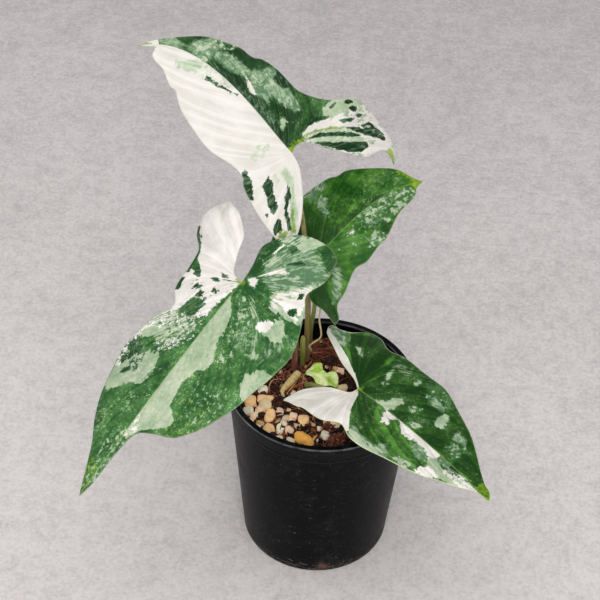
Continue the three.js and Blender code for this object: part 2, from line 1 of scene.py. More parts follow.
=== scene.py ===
"""White-splashed arrowhead plant in a black nursery pot: its fine surfaces and finishes.

Lengths are in millimetres until add_piece turns a mesh into metres.
"""
import math

import bpy
import numpy as np
from mathutils import Matrix, Vector


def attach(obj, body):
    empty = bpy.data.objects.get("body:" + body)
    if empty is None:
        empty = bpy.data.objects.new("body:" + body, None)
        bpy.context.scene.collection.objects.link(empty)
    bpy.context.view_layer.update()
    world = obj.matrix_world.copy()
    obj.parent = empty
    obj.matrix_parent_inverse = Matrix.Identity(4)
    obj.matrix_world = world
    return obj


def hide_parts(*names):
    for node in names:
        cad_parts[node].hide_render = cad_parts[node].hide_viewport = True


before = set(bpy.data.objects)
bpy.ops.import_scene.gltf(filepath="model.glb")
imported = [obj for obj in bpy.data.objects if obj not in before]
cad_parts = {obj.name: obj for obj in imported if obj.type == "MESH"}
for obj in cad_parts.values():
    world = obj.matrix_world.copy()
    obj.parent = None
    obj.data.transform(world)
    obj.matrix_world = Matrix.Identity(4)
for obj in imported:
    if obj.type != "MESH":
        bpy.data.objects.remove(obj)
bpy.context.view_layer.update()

MM = 0.001

# ------------------------------------------------------------------ sizes, as in the solids

POT = dict(height=108.6, rim=50.0, rim_flat=1.8, rim_round=0.7, bead_height=3.6, bead_step=0.5,
           collar_height=11.0, collar_step=0.6, foot_round=1.0, base=40.4, neck=48.9, wall=1.2,
           floor=2.0, drains=6, drain_radius=4.0, drain_circle=27.0)

MIX = dict(level=95.0, lump=0.9, gap=0.3, depth=11.0, fill_pebbles=20, fill_chips=22, fill_radius=43.0)

LOBE_SHARE = 0.4   # share of a margin, from the lobe's tip, that the lobe's own spine serves
VEIN_SWEEP = 1.6   # above 1, lateral veins leave the midrib sloping forward

BLADES = {
    "top": dict(
        junction=(-22.5, 46, 225), heading=154, pitch=34, bank=27,
        length=92, sinus=-2, bend=28, tip=-10, tip_power=9,
        arch=-26, fold=-0.04, flat_radius=34, wave=1.6, wave_length=34,
        left=dict(
            lobe=-14, curl=-0.5, roll=-3, phase=0.4,
            outer=[(-34.5, -33.5), (-36, -31), (-36, -21.5), (-31.5, 0), (-29.5, 4.5), (-27, 7),
                   (-26, 14.5), (-28, 31), (-22.5, 52), (-16, 63), (-16.5, 64), (-16, 66.5), (-12, 74),
                   (-10.5, 81.5), (-9, 83.5), (-5.5, 85), (-10, 92)],
            inner=[(-2.5, -9.5), (-12.5, -22.5), (-25.5, -32.5), (-30.5, -34), (-34.5, -33.5)]),
        right=dict(
            lobe=-10, curl=-1, roll=-6, phase=2.2,
            outer=[(42.5, -45), (46, -42), (48, -38), (51, -26), (52, -20.5), (51, -14.5), (49, -9.5),
                   (46.5, -5.5), (37.5, 1.5), (34, 5), (28, 15.5), (27, 19), (27.5, 33.5), (26.5, 42),
                   (24, 46), (23.5, 53.5), (22, 57.5), (17, 69.5), (14.5, 73), (-1.5, 87.5), (-10, 92)],
            inner=[(2.5, -0.5), (5, -1), (7.5, -1.5), (9.5, -3), (15, -12), (27, -28.5), (30, -31.5),
                   (41, -36), (42.5, -45)])),
    "middle": dict(
        junction=(-7, 34, 164.5), heading=38, pitch=26, bank=-25,
        length=73, sinus=0, bend=-18, tip=4.5, tip_power=4,
        arch=-22, fold=-0.06, flat_radius=26, wave=1.3, wave_length=30,
        left=dict(
            lobe=-5, curl=-1, roll=-3, phase=1,
            outer=[(-19.5, -16.5), (-26.5, -4), (-30.5, 11.5), (-30.5, 24), (-29, 35.5), (-27, 40),
                   (-26.5, 45.5), (-16.5, 59.5), (-11, 65.5), (-8, 67.5), (2, 71), (4.5, 73)],
            inner=[(-3, -1), (-7.5, -9), (-12, -14), (-16, -17), (-19.5, -16.5)]),
        right=dict(
            lobe=-6, curl=-1, roll=-4, phase=3,
            outer=[(32.5, -15.5), (32, -12), (27.5, -9), (25.5, -6.5), (24, -1), (18, 12.5), (19, 19.5),
                   (16.5, 31), (16.5, 34.5), (10, 51), (9, 60), (8, 64), (5.5, 67.5), (4.5, 73)],
            inner=[(8, -12.5), (12.5, -15.5), (16.5, -16.5), (23, -15), (32.5, -15.5)])),
    "left": dict(
        junction=(-42, -12, 185.5), heading=-130, pitch=-24, bank=-8,
        length=129.5, sinus=0, bend=-8, tip=-1.5, tip_power=4,
        arch=-6.5, fold=-0.05, flat_radius=38, wave=1.8, wave_length=38,
        left=dict(
            lobe=6, curl=-2, roll=-3, phase=2.6,
            outer=[(-35, -34.5), (-36.5, -22.5), (-34.5, -13), (-35, -10.5), (-40, -4), (-48, 18.5),
                   (-49.5, 23.5), (-49.5, 33), (-44, 45), (-38.5, 67), (-36, 71.5), (-28.5, 79.5),
                   (-25.5, 82), (-15, 86), (-7.5, 90.5), (-5, 101), (-3.5, 123), (-1.5, 129.5)],
            inner=[(1.5, -9.5), (4.5, -20.5), (3.5, -23.5), (-1.5, -29), (-10.5, -35.5), (-22.5, -38),
                   (-31.5, -37), (-35, -34.5)]),
        right=dict(
            lobe=9, curl=-1, roll=-3, phase=0.2,
            outer=[(42.5, -35), (46.5, -35), (47.5, -33), (54, -27), (58, -21.5), (56.5, -15.5),
                   (43.5, -7.5), (39.5, -4), (34.5, 6.5), (33.5, 19.5), (27.5, 26.5), (31.5, 36),
                   (33, 49), (36, 58), (36, 63), (29.5, 77.5), (21, 95), (11, 107.5), (-1.5, 129.5)],
            inner=[(7.5, -2), (10.5, -5), (16, -14.5), (18, -20.5), (20, -23), (29.5, -30.5), (38, -34),
                   (42.5, -35)])),
    "right": dict(
        junction=(19.5, -22, 125.5), heading=-37, pitch=-7, bank=5,
        length=87, sinus=-1, bend=3, tip=1.5, tip_power=4,
        arch=-14, fold=0.1, flat_radius=28, wave=1.2, wave_length=32,
        left=dict(
            lobe=-2, curl=-0.8, roll=-3, phase=1.4,
            outer=[(-31.5, -42.5), (-31.5, -40.5), (-29, -36.5), (-29, -33), (-30, -29.5), (-39.5, -22),
                   (-40.5, -19), (-40.5, -16), (-34.5, -8), (-33.5, -4.5), (-35.5, 5.5), (-36, 17),
                   (-35.5, 23.5), (-34, 31.5), (-23.5, 55), (-8.5, 74.5), (-4.5, 80.5), (-4, 83),
                   (-1, 86), (1.5, 87)],
            inner=[(-3.5, -6), (-9, -20), (-21, -38), (-24.5, -40.5), (-29, -42.5), (-31.5, -42.5)]),
        right=dict(
            lobe=-3, curl=-0.8, roll=-3, phase=0,
            outer=[(36, -21.5), (34.5, -14.5), (33, -11.5), (33, 1), (28, 9), (31, 17.5), (27, 39.5),
                   (20, 55), (9.5, 71), (4, 77), (2.5, 79.5), (1.5, 87)],
            inner=[(5.5, -2), (11, -11), (15, -14.5), (23.5, -19), (36, -21.5)])),
}

# Each petiole: its line from the mix up, then its radius at the foot and at the end.
PETIOLES = {
    "top": ([(-9, 30, 95), (-9.2, 30, 117), (-9.6, 30.4, 139), (-11.1, 32.3, 163), (-16, 39, 197)],
            1.8, 1.1),
    "middle": ([(-7.5, 35, 95), (-7.6, 34, 113.6), (-6.2, 34, 128.4), (-5.8, 35.5, 146)], 1.6, 1.0),
    "left": ([(-15.5, 20.5, 95), (-15, 23, 112), (-17.5, 21, 135), (-25, 11.5, 158)], 1.7, 1.2),
    "right": ([(-8.4, 8.7, 95), (-6, 4, 101.5), (1, -4.5, 108), (10, -14, 113.5)], 1.5, 1.1),
}
PETIOLE_SEAT = 1.5   # how far its end lies ahead of the blade's junction
PETIOLE_BEND = 5.8   # straight length square to the blade
PETIOLE_SINK = 0.1   # its end below the middle of the blade

STUB = dict(line=[(-10.9, 25.7, 95), (-11.2, 25.9, 105), (-11.3, 26.1, 116)], foot=85, radius=1.6)
OLD_STEM = dict(line=[(-13, 16, 98), (-17, 9.5, 97.4), (-21, 3, 96.2), (-19.5, -0.5, 95.4)],
                radii=[2, 2.1, 1.6, 0.7], rings=7)
AERIAL_ROOT = dict(line=[(-7.1, 28.9, 102.6), (-6.6, 28.6, 103.8), (-7.8, 27.2, 108), (-6.4, 27, 110.2),
                         (-2.7, 26.5, 114.3), (-1.7, 26, 117), (-1.9, 26, 121.4), (-2.9, 26, 127.2),
                         (-3.1, 26, 132.3), (-2.7, 26, 137)], radius=0.5)
SPROUT = dict(centre=(1, 12), height=101.5, ruffle=1.8, ruffles=4, droop=1.2, stalk=1.0,
              outline=[(-9, 16.5), (-6.3, 19.3), (-3.7, 21), (-0.5, 20.8), (-0.5, 15.5), (2.5, 15.8),
                       (5.2, 16), (8, 13.3), (8.9, 10.3), (7.9, 6.5), (6, 4.5), (2, 3.5), (-1.5, 5.5),
                       (-4.5, 9), (-8.3, 12)])

# Pebbles in the open part of the mix: x, y, half width, half depth, tone.
PEBBLES = [
    (-37, -6, 3.2, 3.3, "tan"), (-30, -3, 4, 2.3, "tan"), (-29.5, -9, 3.2, 3.3, "sand"),
    (-32.5, -11.5, 1.9, 2.6, "pink"), (-26.5, -15, 2.4, 3.6, "tan"), (-38.5, -12.5, 2.7, 2.7, "cream"),
    (-35, -16, 1.9, 2.3, "sand"), (-36.5, -20, 1.6, 1.9, "tan"), (-21, -11.5, 2.1, 2.3, "grey"),
    (-26.5, -24.5, 2.9, 3.1, "tan"), (-32, -24, 1.8, 3, "cream"), (-20.5, -24, 1.8, 3.4, "cream"),
    (-15.5, -25, 2.4, 2.3, "pink"), (-12, -21, 2.1, 1.6, "grey"), (-14.5, -15, 2.1, 2.7, "pink"),
    (-8.5, -17, 2.9, 2.8, "tan"), (-21, -31, 2.6, 2, "cream"), (-26, -30.5, 1.3, 1.3, "cream"),
    (-15, -33, 2.6, 2.6, "white"), (-7.5, -32, 4.7, 3.9, "amber"), (-1.5, -31, 1.2, 1.2, "cream"),
    (3, -27.5, 2.3, 2.4, "white"), (0, -22.5, 1.3, 1.4, "white"), (9.5, -30.5, 3.7, 4.4, "lava"),
    (8, -18.5, 2.4, 2, "sand"), (-31.5, 4.5, 2.4, 2.7, "cream"), (11.5, 7.5, 2.7, 2.4, "sand"),
    (9.5, 22, 1.9, 1.7, "pink"), (6.5, 33, 1.4, 1.4, "tan"), (3.5, -17.5, 1.3, 1.7, "grey"),
]

# Chunks of bark: x, y, half length, half width, half height, turn in degrees.
BARK = [
    (1, 38, 6, 4.6, 3, 20), (3.5, 27.5, 4.4, 3.6, 2.8, -30), (18, 13, 5, 4, 2.8, 60),
    (-22.5, -3.5, 3, 1.9, 2, 70), (-24, 5, 2.6, 2, 1.8, -20), (-34, 14, 5.2, 3.4, 2.6, 35),
    (26, -4, 4.8, 3.4, 2.6, -50), (24, 26, 5.4, 3.8, 2.8, 15),
]

# ------------------------------------------------------------------ markings on the blades

# Markings of each half of a blade, by kind: rows of a cap in mm and then the x and y of each point of
# an outline in the blade's own axes. A marking's field is the distance inside its outline, at most the
# cap: a cap of WHOLE paints it whole and clean-edged, a low one leaves it mottled, and one below zero
# leaves flecks. Kinds are laid in the order of KINDS.
KINDS = ("deep", "grey", "pale", "white", "veil", "ink", "fresh")
WHOLE = 6.0
CLEAN = 2.5          # how much faster a whole marking's field rises from its edge
FAR_OUTSIDE = -8.0
EVERYWHERE = (-80, -80, 80, -80, 80, 160, -80, 160)
# What each face corner carries for the leaf's finish, by attribute.
CORNER_VALUES = dict(marks_low=("deep", "grey", "pale"), marks_high=("white", "ink", "fresh"),
                     veins=("passed", "gap", "out"), place=("line", "edge", "facing"),
                     own_half=("right", "veil", "facing"))

MARKINGS = {
    ("top", "left"): dict(
        white=[(WHOLE, *EVERYWHERE)],
        veil=[(0.4, -14,-3, -14.5,-7, -17.5,-8, -16,-3.5),
              (0.8, -7,71, -4,72, 2,66, 3,61, -1,61, -5,64),
              (-0.1, -17,11, -10,13, -6,9, -12,6.5, -16,8),
              (-0.2, -5,70, 5,64, 4,44, 1,44, -2,56),
              (1.4, -11.5,-5, -7.5,-4.5, -8.5,-11, -12,-15, -19,-25, -27,-32, -29,-30.5, -21,-21,
               -14,-13)],
        ink=[(3, -31.5,-5, -33,0, -30,6, -26,9, -23.5,8.5, -25,3, -29,-2),
             (0.8, -23,-3, -17,-1.5, -18,-6, -22,-10, -24,-15, -29,-17, -28,-12, -25,-8),
             (1, -32,-14, -30.5,-14.5, -32,-16),
             (1.2, -29,-19.5, -28,-21, -31,-26, -36,-25, -34,-22),
             (0.35, 2.8,38, 1.2,45, 0.2,51, 0.3,55.5, -2.2,55.5, -1.6,51.5, 0.3,44, 2,38),
             (1, -13,-11.5, -16,-17, -22,-20, -27,-29, -29,-28, -24,-20, -18,-14.5)],
        fresh=[(0.6, -35,-26, -32,-25, -29,-28, -33,-30),
               (0.4, -15,-18, -17,-19, -26,-31, -28.5,-30.5, -21,-22),
               (1.5, -11,93, -5,84.5, -8,84.5, -12,90)]),
    ("top", "right"): dict(
        deep=[(3, 2,3, 6,8, 8,5, 15,7, 16,12, 14,20, 9,25, 4,22),
              (3, 16,47, 16,61, 20,61, 24,55, 25,46, 21,40, 18,43),
              (2, 8,75, 14,75, 18,68, 12,65, 9,69)],
        grey=[(2.2, 9.5,47, 9,60, 14,61.5, 16.5,57, 17.5,50, 17.5,42, 14,41),
              (1.2, 10,24, 14,26.5, 16,18, 17,12, 20,9.5, 22,12, 24,22, 27,36, 21,39, 18,41,
               12,39, 9,32),
              (0.5, 4,62, 5,75, 12,72, 18,68, 16,61),
              (3, -3,83, -1,89, 6,82, 5,76, 2,76, 0,79),
              (0.6, 30,1, 38,1, 48,-6, 53,-18, 48,-22, 46,-14, 38,-7),
              (1.2, 45.5,-16, 49,-16, 50.5,-25.5, 47.5,-25)],
        pale=[(-0.5, 11,46, 11,58, 14,60, 16,52, 16,43, 13,42),
              (-0.5, 14,24, 16.5,14, 19,10.5, 21,13, 20,20, 17,28),
              (-0.3, 13,40, 18,39, 22,33, 20,28, 15,31, 12,33),
              (2, 4,9.3, 6,12.2, 9.6,14.4, 9.4,11, 7,9.3),
              (-0.35, 5,61, 6,72, 9,74, 12,68, 11,62),
              (-0.35, 12,61, 13,67, 18,68, 20,63, 22,56, 19,57, 17,62),
              (4, 11,0.4, 14,1.4, 20,0.3, 28,-2, 36,-7, 48,-8, 56,-12, 56,-34, 47,-46, 36,-40,
               26,-28, 19,-18, 14,-10, 9,-3),
              (3, 25,-1, 28,2, 34,2.5, 40,2.5, 46,-3, 51,-12, 53,-20, 48,-19, 42,-12.5, 36,-8,
               29,-3.5)],
        white=[(1.2, 8,33, 9,36.5, 13,41.3, 13,38.5, 10.8,34, 9,32),
               (0.2, 11,0.4, 20,0.3, 36,-7, 56,-12, 56,-34, 47,-46, 36,-40, 26,-28, 14,-10, 9,-3),
               (1.5, 11,0.4, 14,1.4, 20,0.3, 27,-4, 34,-10, 40,-19, 37,-19, 31,-12, 24,-6, 16,-2),
               (1.5, 22,-22, 28,-29, 36,-34, 46,-38, 50,-27, 49,-18, 46,-30, 38,-29, 30,-28),
               (WHOLE, -13,95, 0,95, -1,87, -4,83, -9,84)],
        veil=[(0.6, 10,-2, 20,-5, 32,-14, 36,-24, 28,-26, 18,-14)],
        ink=[(2, -1,-1, 1.5,12, 3,25, 4,40, 4.6,50, 5.2,60.5, 8,60, 8.5,52, 11,45, 10.5,39, 8,36,
              7.5,32, 9,28, 7,24, 5,12, 2,3),
             (0.8, 22,24, 21.5,31, 26,32, 28.5,36, 28.5,26, 25,22),
             (0.9, 19,3.4, 22,2.6, 25,1, 28.5,-2.6, 25,-1.6, 21,0.9),
             (0.8, 31,1, 34,0.9, 37,-0.3, 33,-0.8),
             (2.5, 11,-2.4, 18,-4.6, 24.5,-9.8, 31,-15, 36,-21, 34,-20.8, 30,-17.4, 25,-13.2,
              19,-8.2, 15,-5.2),
             (3, 11,-4.6, 16,-9, 20,-12.8, 25,-17, 30,-20.8, 36,-25.6, 34,-28, 28.5,-27.2,
              24.5,-23.6, 20.5,-18.6, 15.5,-11.8),
             (1.6, 31,-12, 35,-15, 38.8,-18.8, 42,-23, 44.5,-28.6, 42,-28, 39,-24, 35.5,-19.6,
              32.5,-15),
             (0.7, 31,-7.7, 35,-9.7, 39.5,-12.6, 36,-12.3, 32,-10.2),
             (1.3, 39.3,-3, 42,-2.6, 45.5,-5.5, 44,-6.6, 41,-5.5),
             (1.2, 39.8,-6.6, 43,-7.4, 45,-10, 42,-11, 40.4,-9),
             (1, 40,-11.2, 43,-12.2, 45.4,-14.8, 42,-14.2),
             (0.3, 40,-18, 46,-20, 48,-30, 45,-33, 41,-25)],
        fresh=[(1.5, 41,-36.5, 44,-37, 46,-39, 44.5,-42, 42.5,-46, 40,-40),
               (2, 0,-2, 6,-1.5, 11,-1.6, 7,0.8, 2,1.5, -1,0),
               (0.5, 9,-1.2, 14,-0.8, 19,-3, 25,-7.3, 30,-11.5, 29.6,-12, 24.6,-8, 18.6,-4,
                13.8,-1.8, 9,-2.2),
               (1.5, -12,94, -5,90, -5,87, -10,88)]),
    ("middle", "left"): dict(
        deep=[(3, -26,18, -2,18, -1,0, -28,0),
              (0.2, -22,40, -10,44, -6,18, -22,18),
              (2, -3,18, -2.5,40, -1,52, -5,50, -7,36, -6,20)],
        grey=[(2.2, -24.5,26, -20.5,27, -17,23, -13,22, -13.5,19.8, -23.5,20.5),
              (0.5, -31,33, -26,32, -25,20, -31,18),
              # This last grey marking, flecks on the half near its tip, is a painted sheen where light
              # catches the blade.
              (-0.7, -10,64, -2,67, -2.5,50, -5,40, -12,42, -17,50, -14,58)],
        fresh=[(2, -13,64, -8,69, 5,75, 5.5,67, 0,68.5, -7,66)]),
    ("middle", "right"): dict(
        deep=[(2, 8,44, 12,44, 17,34, 12,34),
              (3, 13,-3, 20,-8, 34,-11, 33,-17, 12,-17)],
        grey=[(-0.3, -3,30, -2,45, 0,58, 3,66, 8,64, 9,50, 8,36, 3,30),
              (-0.2, 9,34, 15,38, 17,31, 14,25, 10,29),
              (0.8, 12,7, 20,1, 24,-5, 24,-9, 16,-2, 10,4)],
        pale=[(-0.6, -3,33, -2,45, 0,56, 3,64, 7,65, 4,56, 5,50, 2.5,43, 3.5,36, 1,32),
              (-0.3, 6,61, 9,57, 9.5,46, 8,38, 6,47),
              (-0.3, 10,34, 15,37, 17,31, 14,26, 11,30),
              (-1.4, 0,30, 9,32, 12,14, 2,14)],
        white=[(0.7, 1.3,26, 3,25, 3.2,22.7, 1.6,23.2)],
        fresh=[(2, 0,67, 7,66, 5,75)]),
    ("left", "left"): dict(
        deep=[(2, -27,-17.5, -20,-18.5, -17,-17.6, -12,-17.6, -8,-12, -10,-19, -18,-21, -26,-22),
              (3, 0,-4.5, -4,-4.5, -5.5,-15, -4,-20, -5,-26, -3,-30, 2,-28, 6,-24, 6,-18, 3,-8),
              (2.5, -36,-26, -31,-29, -26,-33, -26,-39, -36,-38)],
        grey=[(-0.3, -48,30, -20,30, -18,10, -44,10),
              (3, -36,-19, -31,-12, -25,-8, -18,-5, -9,-6, -7,-12, -6,-22, -14,-29, -22,-32,
               -30,-29, -36,-26),
              (1.5, -14,-30, -6,-28.5, 0,-28.5, -6,-34, -13,-37)],
        pale=[(WHOLE, 0.5,8, -4,12, -9,17.5, -11,22, -11.2,29, -14,35, -18,41, -17,46, -12.5,50,
               -11,58, -12.5,65, -14,70.5, -19,73, -21.5,76, -20,80, -14,84, -8.5,88, -4.5,95,
               0.5,91),
              (3, -52,32, -42,30.5, -40.5,35, -37,38, -38.5,46, -42,48.5, -48,44),
              (2.2, -38.5,12, -36,8, -34,4.5, -30.5,6, -29,9, -26,9, -26,16.5, -36,17, -38.5,15),
              (0.7, -37,29, -34.5,30.5, -32,29.5, -33,26, -36,26),
              (0.5, -26,34, -22,35.5, -21.5,33, -25,32.5),
              (0.6, -23,39, -18,37.5, -19,35.5, -23,38),
              (-0.75, -37,69, -22,71, -19,53, -35,51),
              (-0.9, -20,28, -9,32, -7,10, -20,8),
              (-0.3, -20,17, -12,16, -6,8, -9,4, -18,7),
              (2, -42,3, -30,5, -22,3.5, -20.5,0, -18,-4, -22,-7, -26,-9.5, -30,-12.5, -32.5,-19,
               -37,-20, -36,-10, -42,-4),
              (1.5, -19,-16.6, -12,-11.4, -8,-9, -10.5,-12.5, -12.5,-17, -16,-17.2),
              (0.1, -26,-15, -14,-8.5, -8,-6, -16,-12, -24,-18),
              (0.3, -11,-24, -7,-19, -4,-13, -5.5,-13, -9,-19),
              (2, -26,-40, -21,-32.6, -18,-29.4, -15,-28, -12,-30, -14,-34.5, -18,-39),
              (0.1, -14,-30, -3,-28.5, -2,-31, -13,-35),
              (-0.3, -6,96, 0,92, 0,128, -5,122)],
        white=[(-0.1, -7,88, -3.5,96, 1,92, -0.5,80, -3,82),
               (2, -30,8, -26,10, -23,12.5, -23.5,16, -27,16.5, -30,15),
               (0.4, -40,3, -30,3, -22,3, -21,-5, -28,-9, -34,-17, -38,-8),
               (2, -8.4,-1, -5,-1.2, -1.6,-3, -4,-5.8, -6.8,-5.8),
               (0.9, -22.5,-18.4, -14,-13.2, -6,-6.8, -7,-9, -12,-13.8, -15,-16, -19,-16.8),
               (0.7, -9.4,-28, -6.2,-27, -5,-20.6, -6.2,-20.8, -7,-25.4)],
        ink=[(1, -38.5,0, -35,2.3, -32,2.3, -33,-0.3, -36,-2.4),
             (0.8, -31.5,4.6, -28,5.4, -28,2.8, -31,2.3),
             (0.9, -35.2,-8, -33,-6.8, -31.6,-10, -34,-11.4),
             (1.1, -24,-24.6, -20,-25, -15.5,-20.8, -14.5,-19.4, -18,-20.8),
             (0.8, -15,-29, -14,-25, -11.6,-26, -12,-29.5)],
        fresh=[(-0.7, -38,72, -20,84, -16,60, -38,58),
               (-1.3, -20,18, -10,18, -2,2, -6,0, -18,8),
               (0.8, -2,1, 0,2, 0.5,-2, -2,-1.5)]),
    ("left", "right"): dict(
        # The first deep marking, by the midrib near the tip, is painted shade under a fold.
        deep=[(3, -1,72.5, 4,75.5, 9,80, 13,78.5, 7,74.5, 0,70),
              (1.5, 0,58, 8,66, 8.5,60, 2,52),
              (2, 16,105, 24,92, 20,86, 14,96)],
        pale=[(0.2, 9,38, 20,40, 24,34, 14,28),
              (0.1, 4,32, 10,46, 19,50, 22,40, 20,30, 8,28),
              (4, 8.5,58, 8.5,69.5, 16,72, 19,75, 25,80.5, 31,79, 38,62, 34,50, 22,56, 15,53,
               11,52),
              (1.4, 19,40, 28,38, 29,30, 36,36, 36,50, 27,49, 21,45),
              (0.5, 19,37, 27,38, 29,29, 22,29),
              (-0.6, 0,90, 5,97, 3,110, 0,126)],
        white=[(WHOLE, -0.5,-1, 3,0.5, 8,2, 14,6, 18,8, 25,6, 30,2.5, 35,0, 38,-5, 44,-9.5,
                60,-18, 62,-26, 48,-40, 30,-36, 12,-20, 6,-6),
               (0.8, 0,0, 2.5,14, 3,24, 5,26.5, 9,27.5, 9.5,20, 12,16, 20,19, 22,28, 26,31,
                28.5,26, 35,20, 36,6, 25,7, 14,5),
               (-0.5, 2,38, 20,38, 22,28, 3,26),
               (-0.25, 3.5,40.5, 8,39.5, 14,44, 18,49, 13,51, 7,47),
               (-0.8, 10,60, 10,69, 16,70, 20,62, 16,56),
               (0.2, 31,44, 35,48, 37,62, 33,70, 30,66, 33,58, 30,50),
               (0, 20,29, 34,29, 35,42, 30,43, 22,40)],
        ink=[(0.7, 11,5, 13,6.5, 18.5,6, 15,3.5),
             (0.5, 8.5,1.5, 12,2.5, 15.5,0.3, 10,0),
             (1, 23,9, 28.5,8, 31.5,2.5, 27,4.5),
             (2.2, 30.5,18, 33,20, 36,18, 35.5,12.5, 32,12),
             (0.5, 31.5,10, 35,9, 40,-2, 38,-4, 34,2),
             (0.1, 40.5,-6.5, 49,-11, 57,-15.5, 59,-18, 54.5,-19, 49,-14.5),
             (1, 52,-13.5, 57,-15.5, 58,-18, 54.5,-18.5),
             (0.4, 20,15, 23.5,15, 22.5,12, 19.5,12.5),
             (-0.4, 10,22, 20,29, 24,25, 18,15, 12,16),
             (0.25, 9,26, 14,28.5, 15,21, 12,17.5, 9,19),
             (0.6, 15,17, 19,18, 18,14, 14.5,14),
             (0.5, 19,14, 23,14.5, 22,11, 18,11.5),
             (0.4, 8,12, 12,12, 11,9, 7,10),
             (0.4, 17,25, 21,27, 21,22, 17.5,21),
             (1.2, 21,66, 26,70.5, 28,68, 23.5,64),
             (0.8, 26,60, 31,66.5, 34,63, 29,57),
             (0, 18,65, 22,66, 30,61, 35,63, 36,56, 32,50, 20,52),
             (0.6, 22,58, 27,59, 29,53, 24,51),
             (0.6, 30,57, 33,60, 34,54, 30.5,51)],
        fresh=[(-0.9, 18,44, 35,44, 35,52, 18,54),
               (0.8, -0.5,1.6, 2.5,0.8, 5,-0.5, 3,-1.6, 0,-2),
               (-0.2, 0,112, 6,112, 0,132, -3,130)]),
    ("right", "left"): dict(
        deep=[(0.6, 0,0, -12,2, -34,-1, -38,28, -30,44, -8,76, 0,80),
              (4, 0,40, -12,46, -15,62, -6,80, 0,84),
              (1.5, -2,-2, -10,0, -34,-4, -40,-16, -30,-27, -20,-25, -12,-13)],
        grey=[(1.8, -24.5,38, -20.5,39.5, -19.5,31, -24.5,29),
              (1, -18,57, -13,60, -13,52, -18,51),
              (-0.3, -34,10, -26,12, -26,2, -34,2),
              (3, -32,-33, -24,-26, -16,-25, -21,-36, -32,-44)],
        pale=[(4, -12.5,19.5, -9,21.5, -5,21.5, 0,18, 0.5,10, -4,14, -8.5,16.5),
              (3, -22,41.5, -19,44.2, -14,44.8, -11,43, -13,40, -17,39.2, -20.5,39.8),
              (1.6, -30,18, -28,19.6, -24.5,19.2, -24,17.5, -28,16.8),
              (1, -24,4, -18,6.2, -16,5.2, -20,3),
              (0.3, -15,7.5, -11.5,7, -12,5, -14,5.5),
              (-0.5, -12,61, -3,60, -4,53, -10,54),
              (0.2, -5,37, -1.5,36, -2,31, -4.5,32),
              (-0.2, -15,30.5, -8,28, -9,25.5, -14,28),
              (-0.8, -36,34, -24,40, -22,26, -36,20),
              (0.1, -31,-32, -22,-27, -17,-28, -22,-38, -31,-42),
              (0.3, -24,-18, -19,-12.5, -20,-16, -23,-20)],
        white=[(WHOLE, 1,0, -4,-8, -8,-20, -20,-40, -32,-46, -24,-38, -18,-28.5, -13,-18.5,
                -6.5,-8, -1,-1)],
        fresh=[(0.6, -2,1, 1,2.5, 1,-2, -1.5,-2),
               (0.5, -4,78, 1,78, 2,89, -3,88)]),
    ("right", "right"): dict(
        deep=[(2, 0,3, 8,6, 25,13, 24,24, 12,18, 0,12)],
        grey=[(4, 27,13, 34,18, 30,36, 25,36.5, 24.5,22, 24.5,13),
              (0.8, 19,33, 27,38, 28,33, 22,29),
              (2.5, -1,53, 4.2,54, 6,60, 4,66, 1,72, -2,72),
              (1, 5,43, 10,53, 14,49, 12,44, 7,40)],
        pale=[(0.3, 27,14, 33,18, 28,34, 25,34.5, 25.5,22, 25.5,15),
              (2, 4,53, 7,60, 5.5,68, 1,79, 5,80, 11,70, 13,64, 19,57, 13,54, 8,51),
              (0.5, 19,50, 24,47, 24,40, 19.5,41)],
        white=[(WHOLE, -0.5,-1, 4,2, 14,5.5, 22,10, 29,15, 36,8, 38,-24, 20,-24, 8,-12, 2,-4),
               (3, -0.5,39, -1,53, 4,54.5, 9,52, 6,47, 5,40, 2.5,38),
               (0.9, 0,26, 4,30, 7,34, 6,39, -0.5,39.5),
               (1.3, 0,17.5, 4,19, 10,21.5, 9,25.5, 5,24, 0.5,26),
               (0.9, 12,61, 14,62, 20,56, 22,52, 17,52, 13,55),
               (0.2, 1,70, 2.5,79, 8,73, 9,62, 6,60, 4.5,66)],
        ink=[(0.5, -0.5,60, 3.5,62, 3,66, 0,71)],
        fresh=[(-0.9, 14,56, 24,50, 26,40, 18,44),
               (0.6, -1,2.5, 2,1, 2,-1, -1,-2)]),
}

